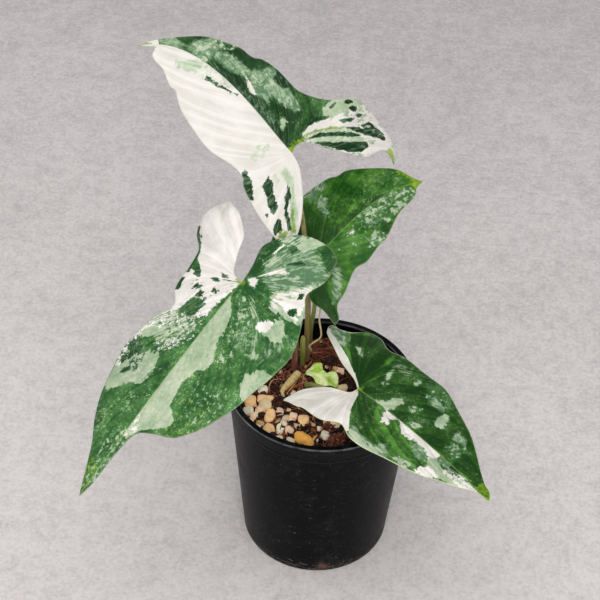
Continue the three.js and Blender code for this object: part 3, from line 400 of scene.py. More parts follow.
# How the blades look. Greens and cream, 0..255; how far the green is mottled, and from what level
# flecked; how clearly the margin is lined with cream (trim) and the midrib shows; how ragged and torn
# the markings are, how fine the tearing is, how soft their pale edges, and how far the veins draw them
# out; how far one side of each gap between veins is darkened with painted shade (pleats), how clearly
# the veins show (ribs), how deep they are pressed and how high the blade swells between them in mm, how
# much paler, as painted light, it is there (panels); and how many veins leave the midrib. First what
# most blades share, then each blade's own.
LEAF_LOOKS = dict(white=(234, 230, 224), trim=0.1, ragged=1.0, torn=1.0, fine=0.7, soft=0.15,
                  pleats=0.15, ribs=0.12, swell=0.9, panels=0.25, veins=9)
BLADE_LOOKS = {
    # The top blade's white is a darker copy of the others': painted shade that offsets the stronger
    # light on it.
    "top": dict(dark=(12, 50, 16), light=(68, 112, 58), deep=(10, 46, 16), white=(222, 219, 213),
                mottle=0.4, flecks=0.75, trim=0.15, midrib=0.1, drawn=0.5, relief=0.6),
    "middle": dict(dark=(22, 76, 10), light=(100, 156, 52), deep=(10, 52, 3), mottle=0.2, flecks=0.9,
                   trim=0.2, midrib=0.2, torn=1.2, fine=0.5, soft=0.35, drawn=0.35, ribs=0.15,
                   relief=0.4, panels=0.08, veins=7),
    "left": dict(dark=(26, 74, 30), light=(80, 128, 66), deep=(18, 62, 24), mottle=0.6, flecks=0.6,
                 midrib=0.35, drawn=0.6, relief=0.5, swell=0.8),
    "right": dict(dark=(16, 60, 6), light=(92, 148, 56), deep=(8, 48, 3), mottle=0.35, flecks=0.8,
                  trim=0.7, midrib=0.3, ragged=1.1, torn=0.7, fine=0.55, soft=0.3, drawn=0.3,
                  pleats=0.35, ribs=0.15, relief=0.45, panels=0.2, veins=6),
}

# ------------------------------------------------------------------ lines, grids and meshes


def smooth_line(points, closed=False, fineness=40):
    """Centripetal Catmull-Rom curve through points: a cubic per span, whose end slopes weigh the
    neighbouring chords by the square roots of their lengths."""
    points = np.asarray(points, float)
    if closed:
        padded = np.vstack([points[-1:], points, points[:2]])
    else:
        padded = np.vstack([2 * points[0] - points[1], points, 2 * points[-1] - points[-2]])
    p0, p1, p2, p3 = padded[:-3], padded[1:-2], padded[2:-1], padded[3:]
    roots = np.sqrt(np.linalg.norm(np.diff(padded, axis=0), axis=1))[:, None]
    d0, d1, d2 = roots[:-2], roots[1:-1], roots[2:]
    slope1 = ((p1 - p0) / d0 - (p2 - p0) / (d0 + d1) + (p2 - p1) / d1) * d1
    slope2 = ((p2 - p1) / d1 - (p3 - p1) / (d1 + d2) + (p3 - p2) / d2) * d1
    t = (np.arange(fineness) / fineness)[None, :, None]
    curve = ((2 * t ** 3 - 3 * t ** 2 + 1) * p1[:, None] + (t ** 3 - 2 * t ** 2 + t) * slope1[:, None]
             + (3 * t ** 2 - 2 * t ** 3) * p2[:, None] + (t ** 3 - t ** 2) * slope2[:, None])
    return np.vstack([curve.reshape(-1, points.shape[1]), padded[-2:-1]])


def by_share(line, share):
    """Points of a fine line at shares 0..1 of its length."""
    lengths = np.concatenate([[0.0], np.cumsum(np.linalg.norm(np.diff(line, axis=0), axis=1))])
    return np.stack([np.interp(share * lengths[-1], lengths, axis) for axis in line.T], axis=-1)


def unit(vectors):
    """Vectors of length 1 in the same directions."""
    return vectors / np.maximum(np.linalg.norm(vectors, axis=-1, keepdims=True), 1e-9)


def circle(sides):
    """Cosines and sines of equal turns."""
    turn = 2 * np.pi * np.arange(sides) / sides
    return np.cos(turn), np.sin(turn)


def grid_faces(rows, columns, wrap=False):
    """Two triangles for each square of a grid numbered row by row."""
    number = np.arange(rows * columns).reshape(rows, columns)
    if wrap:
        number = np.hstack([number, number[:, :1]])
    a, b, c, d = number[:-1, :-1], number[:-1, 1:], number[1:, 1:], number[1:, :-1]
    return np.concatenate([np.stack(three, -1).reshape(-1, 3) for three in ([a, b, c], [a, c, d])])


def rim_faces(a, b, below):
    """Wall from the edges a..b down to the same edges numbered further on by below."""
    return np.vstack([np.stack([b, a, a + below], -1), np.stack([b, a + below, b + below], -1)])


def edges_of(faces):
    """Directed edges of triangles."""
    return np.vstack([faces[:, [0, 1]], faces[:, [1, 2]], faces[:, [2, 0]]])


def normals(points, faces):
    """Way that each triangle faces: the cross product of two of its edges."""
    p, q, r = (points[faces[:, k]] for k in range(3))
    return np.cross(q - p, r - p)


def flipped(faces, wrong):
    """The triangles, those that face the wrong way turned over."""
    return np.where(wrong[:, None], faces[:, ::-1], faces)


def weld(points, faces, digits=2):
    """Points that round to the same place made one: which of them stay, every point's new number, and
    which triangles keep three different corners."""
    _, first, number = np.unique(np.round(points, digits), axis=0,
                                 return_index=True, return_inverse=True)
    a, b, c = number.ravel()[faces].T
    return first, number.ravel(), (a != b) & (b != c) & (c != a)


def welded(points, faces):
    """The mesh with its seams joined."""
    first, number, whole = weld(points, faces)
    return points[first], number[faces[whole]]


def joined(parts):
    """One mesh from several (points, faces)."""
    starts = np.cumsum([0] + [len(points) for points, _ in parts[:-1]])
    return (np.vstack([points for points, _ in parts]),
            np.vstack([faces + start for (_, faces), start in zip(parts, starts)]))


def rod(line, radii, sides=16, steps=60):
    """Round rod along a smooth line, its rings square to the line's direction; closed at both ends."""
    share = np.linspace(0, 1, steps + 1)
    centres = by_share(smooth_line(line), share)
    forward = unit(np.gradient(centres, axis=0))
    level = np.eye(3)[np.argmin(np.abs(forward).max(axis=0))]
    first = unit(level - forward * (forward @ level)[:, None])
    second = np.cross(forward, first)
    cosine, sine = circle(sides)
    spokes = first[:, None] * cosine[:, None] + second[:, None] * sine[:, None]
    radius = np.broadcast_to(radii(share) if callable(radii) else radii, share.shape)
    rings = centres[:, None] + spokes * radius[:, None, None]
    around = np.arange(sides)
    following = (around + 1) % sides
    last = steps * sides
    foot = np.stack([np.full(sides, last + sides), following, around], -1)
    end = np.stack([np.full(sides, last + sides + 1), last + around, last + following], -1)
    return (np.vstack([rings.reshape(-1, 3), centres[:1], centres[-1:]]),
            np.vstack([grid_faces(steps + 1, sides, wrap=True), foot, end]))


def grain(x, y, seed, cells=1.0):
    """Smooth noise of about -1..1 with cells of a size in mm: a third of the sum of six seeded waves."""
    rng = np.random.default_rng(seed)
    total = 0
    for _ in range(6):
        turn, wave = rng.uniform(0, 2 * np.pi), rng.uniform(0.7, 1.9) / cells
        shift = rng.uniform(0, 6.3)
        total = total + np.sin(wave * (x * math.cos(turn) + y * math.sin(turn)) + shift)
    return total / 3


def add_piece(name, mesh, material, nodes=(), corners=None, dots=None):
    """Blender mesh from (points in mm, triangles), hung under the root body. corners and dots hold
    vectors for its face corners and its points; the imported solids that it stands for, nodes, are
    hidden."""
    points, faces = mesh
    data = bpy.data.meshes.new(name)
    data.from_pydata((points * MM).tolist(), [], faces.tolist())
    for domain, table in (("CORNER", corners or {}), ("POINT", dots or {})):
        for title, values in table.items():
            layer = data.attributes.new(title, "FLOAT_VECTOR", domain)
            layer.data.foreach_set("vector", np.asarray(values, np.float32).ravel())
    data.shade_smooth()
    data.materials.append(material)
    piece = bpy.data.objects.new(name, data)
    bpy.context.scene.collection.objects.link(piece)
    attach(piece, "root")
    if nodes:
        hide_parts(*nodes)


# ------------------------------------------------------------------ leaf blades

LOBE_STEPS, FORE_STEPS = 60, 110
OUTER_ROWS, INNER_ROWS = 44, 26
HALF_THICKNESS = 0.22
RIB_HEIGHT, RIB_WIDTH = 0.7, 0.9       # midrib and lobe ribs, raised under the blade
VEIN_WIDTH, VEIN_DRIFT = 1.5, 0.16
FINE_VEINS = 0.25                      # share of the pressed depth that the finer veins between have
VEIN_CURVE, LOBE_CURVE = 1.5, 0.4      # how far veins sweep forward on their way out, in gaps
LOBE_VEIN_ANGLE = math.radians(15)     # between the veins that fan out into a lobe
LOBE_LINE = 0.4                        # extra distance that keeps the lobe's rib from showing as a line
SWELL_CELLS, SWELL_SEED = 6.0, 8       # size of the swollen patches, in mm


def blade_axes(blade):
    """Across, along and square to a blade's plane, as world directions."""
    turn, rise, roll = np.radians([blade["heading"], blade["pitch"], blade["bank"]])
    level, up = np.array([np.cos(turn), np.sin(turn), 0]), np.array([0, 0, 1.0])
    along = level * np.cos(rise) + up * np.sin(rise)
    upright = up * np.cos(rise) - level * np.sin(rise)
    across = np.cross(along, upright) * np.cos(roll) + upright * np.sin(roll)
    return across, along, np.cross(across, along)


def midrib_at(blade, y):
    """Sideways place of the midrib: bend f^1.5 (1 - f) + tip f^power, f = y / length in 0..1."""
    share = np.clip(y / blade["length"], 0, 1)
    return blade["bend"] * share ** 1.5 * (1 - share) + blade["tip"] * share ** blade["tip_power"]


def relief(blade, half, x, y):
    """Height off the blade's plane: arch (y/100)^2 ahead, lobe (y/50)^2 behind, curl beyond the flat
    radius, fold |side|, roll side^2 and a wave sin(2 pi y / wave length) that grows sideways."""
    side = x - midrib_at(blade, y)
    past = np.maximum(0, np.hypot(x, y) - blade["flat_radius"]) / 10
    wave = np.sin(2 * np.pi * y / blade["wave_length"] + half["phase"])
    return (blade["arch"] * (np.maximum(y, 0) / 100) ** 2
            + half["lobe"] * (np.maximum(-y, 0) / 50) ** 2
            + half["curl"] * past ** 2 * np.clip(-y / 12, 0, 1)
            + blade["fold"] * (np.sqrt(side ** 2 + 9) - 3)
            + half["roll"] * (side / 50) ** 2
            + blade["wave"] * (side / 40) ** 2 * wave)


def half_strips(blade, half):
    """Spine, margin, place among the veins and rows of the outer and the inner strip of one half. The
    spine runs from the lobe's tip to the sinus and on along the midrib. Veins count from the sinus:
    forward along the midrib, and backward by the angle that they fan out at in the lobe."""
    lobe = np.linspace(0, 1, LOBE_STEPS + 1)
    fore = np.linspace(0, 1, FORE_STEPS + 1)[1:]
    outer = smooth_line(half["outer"])
    inner = smooth_line([(0, blade["sinus"])] + half["inner"])[::-1]
    beside, within = by_share(outer, LOBE_SHARE * lobe), by_share(inner, lobe)
    lobe_spine = within + (beside - within) * (0.5 * (1 - lobe ** 2))[:, None]
    y = blade["sinus"] + (blade["length"] - blade["sinus"]) * fore ** VEIN_SWEEP
    spine = np.vstack([lobe_spine, np.stack([midrib_at(blade, y), y], -1)])
    ahead = by_share(outer, LOBE_SHARE + (1 - LOBE_SHARE) * fore)
    count = np.concatenate([np.zeros(LOBE_STEPS + 1), blade["veins"] * fore])
    return [(spine, np.vstack([beside, ahead]), count, OUTER_ROWS),
            (lobe_spine, within, count[:LOBE_STEPS + 1], INNER_ROWS)]


def crease(passed, gap, width):
    """How far off a vein: 0 on one, near 1 beyond its width."""
    return 1 - np.exp(-np.abs((passed + 0.5) % 1 - 0.5) * gap / width)


def strip_points(blade, half, strip, first_vein):
    """Grid of one strip, and what its markings need: place among the veins, the gap between them,
    and distances from the spine, from the sinus along a vein and to the margin. The height is the
    relief, plus the creases of the veins, plus a swell that fades towards the margin and the rib."""
    spine, margin, count, rows = strip
    v = (np.linspace(0, 1, rows + 1) ** 1.2)[None, :]
    flat = spine[:, None] * (1 - v[..., None]) + margin[:, None] * v[..., None]
    reach = margin - spine
    length = np.linalg.norm(reach, axis=1)[:, None]

    def square_to(line):
        way = unit(np.gradient(line, axis=0))
        return np.abs(reach[:, 0] * way[:, 1] - reach[:, 1] * way[:, 0])[:, None]

    x, y = flat[..., 0], flat[..., 1]
    radius, angle = np.hypot(x, y - blade["sinus"]), np.arctan2(x, y - blade["sinus"])
    start = math.atan2(first_vein[0], first_vein[1] - blade["sinus"])
    in_lobe = (np.arange(len(spine)) <= LOBE_STEPS)[:, None] & (radius > 0.5)
    fanned = -np.abs((angle - start + np.pi) % (2 * np.pi) - np.pi) / LOBE_VEIN_ANGLE
    stride = (np.linalg.norm(np.gradient(flat, axis=0), axis=-1)
              / np.maximum(np.gradient(count)[:, None], 1e-3))
    gap = np.where(in_lobe, radius * LOBE_VEIN_ANGLE, stride)
    out = np.where(in_lobe, radius, v * length)
    bow = np.where(in_lobe, radius / np.linalg.norm(first_vein), v)
    eased = LOBE_CURVE + (VEIN_CURVE - LOBE_CURVE) * np.exp(np.minimum(fanned, 0))
    curve = np.where(in_lobe, eased, VEIN_CURVE)
    passed = np.where(in_lobe, fanned, count[:, None]) - curve * np.minimum(bow, 1) ** 2
    passed = passed + VEIN_DRIFT * np.sin(2.3 * passed + half["phase"])
    rib, edge = v * square_to(spine), (1 - v) * square_to(margin)
    quilt = ((1 - FINE_VEINS) * crease(passed, gap, VEIN_WIDTH)
             + FINE_VEINS * crease(2 * passed, gap / 2, VEIN_WIDTH / 2))
    quilt = quilt * (1 - np.exp(-rib / VEIN_WIDTH)) * (1 - v ** 5) * np.clip(gap / 4, 0, 1)
    swell = (1 - v ** 4) * np.minimum(rib / 6, 1) * grain(x, y, SWELL_SEED, SWELL_CELLS)
    height = relief(blade, half, x, y) + blade["relief"] * quilt + blade["swell"] * swell
    columns = dict(height=height, passed=passed, gap=gap, out=out, edge=edge, rib=rib,
                   line=rib + np.where(in_lobe, LOBE_LINE, 0.0))
    return {"flat": flat.reshape(-1, 2), **{title: values.ravel() for title, values in columns.items()}}


def inside_distance(places, outline):
    """Distance from places to a closed outline, positive inside: the least distance to an edge, with
    its sign from the number of edges crossed."""
    a = np.reshape(outline, (-1, 2)).astype(float)
    b = np.roll(a, -1, axis=0)
    edge, away = (b - a)[None], places[:, None] - a[None]
    t = np.clip((away * edge).sum(-1) / (edge ** 2).sum(-1), 0, 1)
    distance = np.linalg.norm(away - t[..., None] * edge, axis=-1).min(axis=1)
    x, y = places[:, :1], places[:, 1:]
    rise = np.where(b[:, 1] == a[:, 1], 1e-9, b[:, 1] - a[:, 1])
    meets = a[:, 0] + (y - a[:, 1]) * (b[:, 0] - a[:, 0]) / rise
    crossed = ((a[:, 1] > y) != (b[:, 1] > y)) & (x < meets)
    return np.where(crossed.sum(axis=1) % 2 == 1, distance, -distance)


def marking_field(places, rows):
    """Field of one kind of marking: the distance inside any of its outlines, at most the cap."""
    field = np.full(len(places), FAR_OUTSIDE)
    for cap, *outline in rows:
        rise = CLEAN if cap == WHOLE else 1.0
        field = np.maximum(field, np.minimum(inside_distance(places, outline) * rise, cap))
    return field


def blade_mesh(name, blade):
    """Both halves as one thin sheet, closed round its margin, with its markings on face corners."""
    strips, faces, start = [], [], 0
    for right, side in enumerate(("left", "right")):
        first_vein = by_share(smooth_line(blade[side]["outer"]), np.array([LOBE_SHARE]))[0]
        for strip in half_strips(blade, blade[side]):
            grid = strip_points(blade, blade[side], strip, first_vein)
            marks = MARKINGS[name, side]
            grid.update({kind: marking_field(grid["flat"], marks.get(kind, ())) for kind in KINDS})
            grid["right"] = np.full(len(grid["flat"]), float(right))
            faces.append(grid_faces(len(strip[0]), strip[3] + 1) + start)
            strips.append(grid)
            start += len(grid["flat"])
    raw = {title: np.concatenate([grid[title] for grid in strips]) for title in strips[0]}
    own = np.vstack(faces)
    first, number, whole = weld(raw["flat"], own, 3)
    own = own[whole]
    level = np.column_stack([raw["flat"], np.zeros(start)])
    own = flipped(own, normals(level, own)[:, 2] < 0)
    shared = number[own]

    count = len(first)
    edges = edges_of(shared)
    lone = ~np.isin(edges[:, 0] * count + edges[:, 1], edges[:, 1] * count + edges[:, 0])
    rim, own_rim = rim_faces(*edges[lone].T, count), rim_faces(*edges_of(own)[lone].T, 0)
    flat, height = raw["flat"][first], raw["height"][first]
    taper = np.clip(1 - flat[:, 1] / blade["length"], 0.15, 1)
    rib = RIB_HEIGHT * taper * np.exp(-(raw["rib"][first] / RIB_WIDTH) ** 2)
    across, along, normal = blade_axes(blade)
    sheet = blade["junction"] + flat[:, :1] * across + flat[:, 1:] * along
    top = sheet + (height + HALF_THICKNESS)[:, None] * normal
    under = sheet + (height - HALF_THICKNESS - rib)[:, None] * normal

    corner = np.concatenate([own.ravel(), own[:, ::-1].ravel(), own_rim.ravel()])
    values = {title: column[corner] for title, column in raw.items()}
    values["facing"] = np.repeat([1.0, 0.0, 0.5], [own.size, own.size, own_rim.size])
    table = {title: np.stack([values[part] for part in parts], -1)
             for title, parts in CORNER_VALUES.items()}
    return (np.vstack([top, under]), np.vstack([shared, shared[:, ::-1] + count, rim])), table


# ------------------------------------------------------------------ pot

POT_SIDES = 192


def pot_outer(z):
    """Outside radius of the tapering wall at a height."""
    return POT["base"] + (POT["neck"] - POT["base"]) * z / (POT["height"] - POT["collar_height"])


def pot_profile():
    """Outline of the wall from the underside's edge, over the rim, to the edge of the inner floor."""
    p = POT
    foot, bead, curve = p["height"] - p["collar_height"], p["height"] - p["bead_height"], p["rim_round"]
    inner, collar = p["rim"] - 2 * curve - p["rim_flat"], p["neck"] + p["collar_step"]
    turn = np.linspace(0, np.pi / 2, 7)
    less_cos, less_sin = curve * (1 - np.cos(turn)), curve * (1 - np.sin(turn))
    walls = np.linspace(4, foot - 0.4, 12)
    return np.array([
        (p["base"] - p["foot_round"], 0), (pot_outer(0.3) - 0.3, 0.3),
        (pot_outer(p["foot_round"]), p["foot_round"]), *zip(pot_outer(walls), walls),
        (p["neck"], foot), (collar - 0.1, foot + 0.5), (collar, foot + 2 * p["collar_step"]),
        (p["rim"] - p["bead_step"], bead - 0.2), (p["rim"] - 0.1, bead + 0.3),
        (p["rim"], bead + p["bead_step"]), *zip(p["rim"] - less_cos, p["height"] - less_sin),
        *zip(inner + less_sin, p["height"] - less_cos), (inner, bead), (p["neck"] - p["wall"], foot),
        (pot_outer(2 * p["floor"]) - p["wall"], 2 * p["floor"]),
        (pot_outer(p["floor"]) - 2 * p["wall"], p["floor"])])


def turned(profile, sides):
    """Points of a profile of (radius, height) turned round the Z axis, ring by ring."""
    cosine, sine = circle(sides)
    radius, height = profile[:, :1], profile[:, 1:]
    return np.stack([radius * cosine, radius * sine, height + 0 * cosine], -1).reshape(-1, 3)


def drained_plate(radius, height, facing_up):
    """Round plate with its drain holes: in each sector, rings run from the hole to the sector's edge.
    The holes' rings are the same in both plates; the one that faces up carries the holes' walls."""
    sector = 2 * np.pi / POT["drains"]
    spoke = radius * np.linspace(0, 1, 13)[:-1, None]
    turn = np.linspace(-sector / 2, sector / 2, POT_SIDES // POT["drains"] + 1)
    around = np.stack([np.cos(turn), np.sin(turn)], -1)
    edge = np.vstack([spoke * around[0], radius * around, (spoke * around[-1])[:0:-1]])
    hole = np.array([POT["drain_circle"], 0.0])
    start = hole + POT["drain_radius"] * unit(edge * POT["base"] / radius - hole)
    share = np.linspace(0, 1, 5)[:, None, None]
    rings = start * (1 - share) + edge * share
    faces = grid_faces(len(rings), len(edge), wrap=True)
    parts = []
    for angle in sector * (np.arange(POT["drains"]) + 0.5):
        x = rings[..., 0] * math.cos(angle) - rings[..., 1] * math.sin(angle)
        y = rings[..., 0] * math.sin(angle) + rings[..., 1] * math.cos(angle)
        plate = np.stack([x, y, height + 0 * x], -1)
        parts.append((plate.reshape(-1, 3), faces[:, ::-1] if facing_up else faces))
        if facing_up:
            wall = np.stack([plate[0], plate[0] * [1, 1, 0]])
            parts.append((wall.reshape(-1, 3), grid_faces(2, len(edge), wrap=True)))
    return parts


def pot_mesh():
    """The turned wall, and the two faces of its floor with the drain holes through them."""
    profile = pot_profile()
    wall = turned(profile, POT_SIDES), grid_faces(len(profile), POT_SIDES, wrap=True)
    return welded(*joined([wall, *drained_plate(profile[0, 0], 0.0, False),
                           *drained_plate(profile[-1, 0], POT["floor"], True)]))


# ------------------------------------------------------------------ potting mix

def mix_surface(x, y):
    """Height of the mix: two products of waves about its level."""
    coarse = np.sin(0.31 * x + 0.9) * np.cos(0.27 * y - 0.4)
    fine = np.sin(0.83 * x - 0.55 * y) * np.cos(0.61 * y + 0.37 * x + 1.3)
    return MIX["level"] + MIX["lump"] * (0.65 * coarse + 0.35 * fine)


def mix_mesh():
    """Plug of mix: a fine crumbly top down to the pot's wall, then its sides and underside."""
    sides, rings = 220, 110
    floor, gap = POT["floor"], MIX["gap"]
    wall = pot_outer(MIX["level"]) - POT["wall"] - gap
    cosine, sine = circle(sides)
    radius = wall * np.linspace(1, 0, rings + 1)[:, None]
    x, y = radius * cosine, radius * sine
    edge = np.clip((wall - radius) / 4, 0, 1)
    rough = 0.55 * grain(x, y, 3, 1.0) + 0.4 * grain(x, y, 4, 0.55)
    z = MIX["level"] + edge * (mix_surface(x, y) - MIX["level"]) + np.clip(edge + 0.4, 0, 1) * rough
    z[-1] = z[-1].mean()
    below = np.array([(0, floor + gap), (pot_outer(floor) - 2 * POT["wall"] - gap, floor + gap),
                      (pot_outer(2 * floor) - POT["wall"] - gap, 2 * floor + gap)])
    points = np.vstack([turned(below, sides), np.stack([x, y, z], -1).reshape(-1, 3)])
    return welded(points, grid_faces(len(below) + rings + 1, sides, wrap=True))


def ball(cuts):
    """Unit ball: a cube's faces cut into squares and pushed out, triangles facing out."""
    step = np.tan(np.linspace(-np.pi / 4, np.pi / 4, cuts + 1))
    u, w = (values.ravel() for values in np.meshgrid(step, step))
    sides = [np.roll(np.stack([np.full(u.shape, sign), u, w], -1), axis, axis=1)
             for axis in range(3) for sign in (-1.0, 1.0)]
    points, faces = welded(unit(np.vstack(sides)) * 100,
                           np.vstack([grid_faces(cuts + 1, cuts + 1) + k * len(u) for k in range(6)]))
    outwards = (normals(points, faces) * points[faces].sum(axis=1)).sum(axis=-1)
    return points / 100, flipped(faces, outwards < 0)


def lumps(centres, half_sizes, turns, seed, cuts=8, square=2.4, uneven=0.1, tilt=0.2, craggy=0.0):
    """Stones or chips: balls squared off by the power sum of |x|, |y|, |z|, dented by long waves and by
    short ones (craggy), stretched, turned and tilted. Gives each point's short waves too."""
    rng = np.random.default_rng(seed)
    base, faces = ball(cuts)
    count = len(centres)
    size = (np.abs(base) ** square).sum(-1) ** (-1 / square)
    waves = rng.normal(0, 2.2, (count, 5, 3))
    shift = rng.uniform(0, 6.3, (count, 5, 1))
    dents = np.sin(waves @ base.T + shift).mean(axis=1)
    waves = rng.normal(0, 9, (count, 9, 3))
    shift = rng.uniform(0, 6.3, (count, 9, 1))
    crags = np.sin(waves @ base.T + shift).mean(axis=1)
    shapes = base[None] * size[None, :, None] * (1 + uneven * 2 * dents + craggy * crags)[..., None]
    shapes = shapes * np.asarray(half_sizes)[:, None]
    lean, way = rng.normal(0, tilt, count), rng.uniform(0, 6.3, count)
    shapes = spun(shapes, np.broadcast_to([0, 0, 1.0], (count, 3)), np.radians(turns))
    shapes = spun(shapes, np.stack([np.cos(way), np.sin(way), 0 * way], -1), lean)
    shapes = shapes + np.asarray(centres)[:, None]
    every = faces[None] + (np.arange(count) * len(base))[:, None, None]
    return (shapes.reshape(-1, 3), every.reshape(-1, 3)), len(base), craggy * crags.reshape(-1, 1)


def spun(shapes, axes, angles):
    """Each shape's points turned about its own axis (Rodrigues' formula)."""
    axes, angles = axes[:, None], np.asarray(angles)[:, None, None]
    along = (shapes * axes).sum(-1, keepdims=True)
    square = np.cross(np.broadcast_to(axes, shapes.shape), shapes)
    return shapes * np.cos(angles) + square * np.sin(angles) + axes * along * (1 - np.cos(angles))


def scatter(rng, count, reach):
    """Seeded places x, y within a reach, evenly spread over its circle."""
    distance, turn = reach * np.sqrt(rng.uniform(0, 1, count)), rng.uniform(0, 2 * np.pi, count)
    return distance, distance * np.cos(turn), distance * np.sin(turn)


FIBRE_REACH = 46.0   # from the pot's axis
FIBRE_STEPS, FIBRE_SIDES = 9, 4


def fibres(count, seed, centre, reach, thickness, lengths, heap):
    """Loose fibres lying over the mix: bent lines with a square section, tapering at both ends. heap is
    how high they pile up at their centre, in mm."""
    rng = np.random.default_rng(seed)
    distance, x, y = scatter(rng, count, reach)
    heading, length = rng.uniform(0, 2 * np.pi, count), rng.uniform(*lengths, count)
    share = np.linspace(-0.5, 0.5, FIBRE_STEPS)[None]
    way = heading[:, None] + rng.normal(0, 0.9, count)[:, None] * share * 2
    stride = (length / (FIBRE_STEPS - 1))[:, None]
    x = x[:, None] + np.cumsum(np.cos(way) * stride, axis=1) + centre[0]
    y = y[:, None] + np.cumsum(np.sin(way) * stride, axis=1) + centre[1]
    inside = np.minimum(1, FIBRE_REACH / np.maximum(np.hypot(x, y), 1e-6))
    x, y = x * inside, y * inside
    lift = rng.uniform(0.4, 1.5, count)[:, None] * (1 - 3 * share ** 2)
    lift = lift + rng.uniform(-0.2, 0.3, count)[:, None]
    lift = lift + (heap - 1) * rng.uniform(0, 1, count)[:, None] * (1 - distance / reach)[:, None]
    centres = np.stack([x, y, mix_surface(x, y) + lift], -1)
    forward = unit(np.gradient(centres, axis=1))
    first = unit(np.cross(forward, np.array([0, 0, 1.0])))
    second = np.cross(forward, first)
    cosine, sine = circle(FIBRE_SIDES)
    radius = rng.uniform(*thickness, count)[:, None] * (1 - 3.2 * share ** 2).clip(0.15)
    spokes = first[:, :, None] * cosine[:, None] + second[:, :, None] * sine[:, None]
    rings = centres[:, :, None] + spokes * radius[:, :, None, None]
    last = (FIBRE_STEPS - 1) * FIBRE_SIDES
    caps = np.array([(0, 3, 2), (0, 2, 1), (last, last + 1, last + 2), (last, last + 2, last + 3)])
    block = np.vstack([grid_faces(FIBRE_STEPS, FIBRE_SIDES, wrap=True), caps])
    each = FIBRE_STEPS * FIBRE_SIDES
    every = block[None] + (np.arange(count) * each)[:, None, None]
    return (rings.reshape(-1, 3), every.reshape(-1, 3)), each


# ------------------------------------------------------------------ sprout

def sprout_mesh():
    """Crinkled little blade: rings from its centre to a smooth outline, waved more towards its edge,
    0.4 mm thick, on its stalk."""
    count, rings = 120, 22
    edge = by_share(smooth_line(SPROUT["outline"], closed=True), np.arange(count) / count)
    centre = np.array(SPROUT["centre"], float)
    share = np.linspace(0, 1, rings + 1)[1:, None]
    x, y = (centre[k] + (edge[:, k] - centre[k])[None] * share for k in range(2))
    turn = np.arctan2(y - centre[1], x - centre[0])
    z = (SPROUT["height"] + SPROUT["ruffle"] * share ** 2 * np.sin(SPROUT["ruffles"] * turn + 0.6)
         - SPROUT["droop"] * share ** 2 + 0.8 * share ** 0.5 * grain(x, y, 21, 1.3))
    top = np.vstack([[*centre, SPROUT["height"]], np.stack([x, y, z], -1).reshape(-1, 3)])
    around = np.arange(count)
    following = (around + 1) % count
    fan = np.stack([0 * around, 1 + following, 1 + around], -1)
    faces = np.vstack([fan, grid_faces(rings, count, wrap=True) + 1])
    total = len(top)
    outer = total - count
    rim = rim_faces(outer + following, outer + around, total)
    lift = np.array([0, 0, 0.2])
    blade = (np.vstack([top + lift, top - lift]), np.vstack([faces, faces[:, ::-1] + total, rim]))
    heights = MIX["level"] - MIX["depth"], MIX["level"], SPROUT["height"]
    stalk = rod([(*centre, height) for height in heights], SPROUT["stalk"], 12, 10)
    return joined([blade, stalk])


# ------------------------------------------------------------------ shader sums


def linear(rgb):
    """Linear light from 0..255 display values."""
    share = np.asarray(rgb, float) / 255
    return np.where(share <= 0.04045, share / 12.92, ((share + 0.055) / 1.055) ** 2.4)


class Wire:
    """An output of a material's nodes. Arithmetic adds Math nodes; make() adds any other node."""

    def __init__(self, tree, socket=None):
        self.tree, self.socket = tree, socket

    def make(self, kind, settings=None, inputs=None, output=0):
        """Adds a node: its settings first, then values or wires for its inputs."""
        node = self.tree.nodes.new("ShaderNode" + kind)
        for title, value in (settings or {}).items():
            setattr(node, title, value)
        for key, value in (inputs or {}).items():
            if isinstance(value, Wire):
                self.tree.links.new(value.socket, node.inputs[key])
            else:
                node.inputs[key].default_value = value
        return Wire(self.tree, node.outputs[output]) if node.outputs else None

    def outputs(self):
        """Every output of the same node."""
        return [Wire(self.tree, socket) for socket in self.socket.node.outputs]

    def sum(self, operation, *values):
        return self.make("Math", {"operation": operation}, dict(enumerate(values)))

    def __add__(self, other): return self.sum("ADD", self, other)
    def __radd__(self, other): return self.sum("ADD", other, self)
    def __sub__(self, other): return self.sum("SUBTRACT", self, other)
    def __rsub__(self, other): return self.sum("SUBTRACT", other, self)
    def __mul__(self, other): return self.sum("MULTIPLY", self, other)
    def __rmul__(self, other): return self.sum("MULTIPLY", other, self)
    def __abs__(self): return self.sum("ABSOLUTE", self)

    def step(self, low, high):
        """0 below low, 1 above high, smooth between."""
        return self.make("MapRange", {"interpolation_type": "SMOOTHSTEP"}, {0: self, 1: low, 2: high})

    def toward(self, a, b):
        """Colour a where this wire is 0, b where it is 1. Plain colours are 0..255 display values."""
        a, b = (end if isinstance(end, Wire) else (*linear(end), 1.0) for end in (a, b))
        return self.make("Mix", {"data_type": "RGBA"}, {0: self, 6: a, 7: b}, 2)

    def parts(self):
        """The three parts of a vector."""
        return self.make("SeparateXYZ", None, {0: self}).outputs()


def vector(root, x, y, z):
    return root.make("CombineXYZ", None, {0: x, 1: y, 2: z})


def noise(root, place, scale=1.0, detail=3.0, rough=0.5):
    """Cloudy noise of about -1..1."""
    cloud = root.make("TexNoise", None, {"Vector": place, "Scale": scale, "Detail": detail,
                                         "Roughness": rough})
    return (cloud - 0.5) * 4


def attribute(root, title):
    return root.make("Attribute", {"attribute_name": title}, None, 1)


def new_material(title):
    """A material, the root of its empty node tree, and the place on the object in millimetres."""
    material = bpy.data.materials.new(title)
    material.use_nodes = True
    material.node_tree.nodes.clear()
    root = Wire(material.node_tree)
    place = root.make("TexCoord", None, None, 3)
    return material, root, root.make("VectorMath", {"operation": "SCALE"}, {0: place, "Scale": 1 / MM})


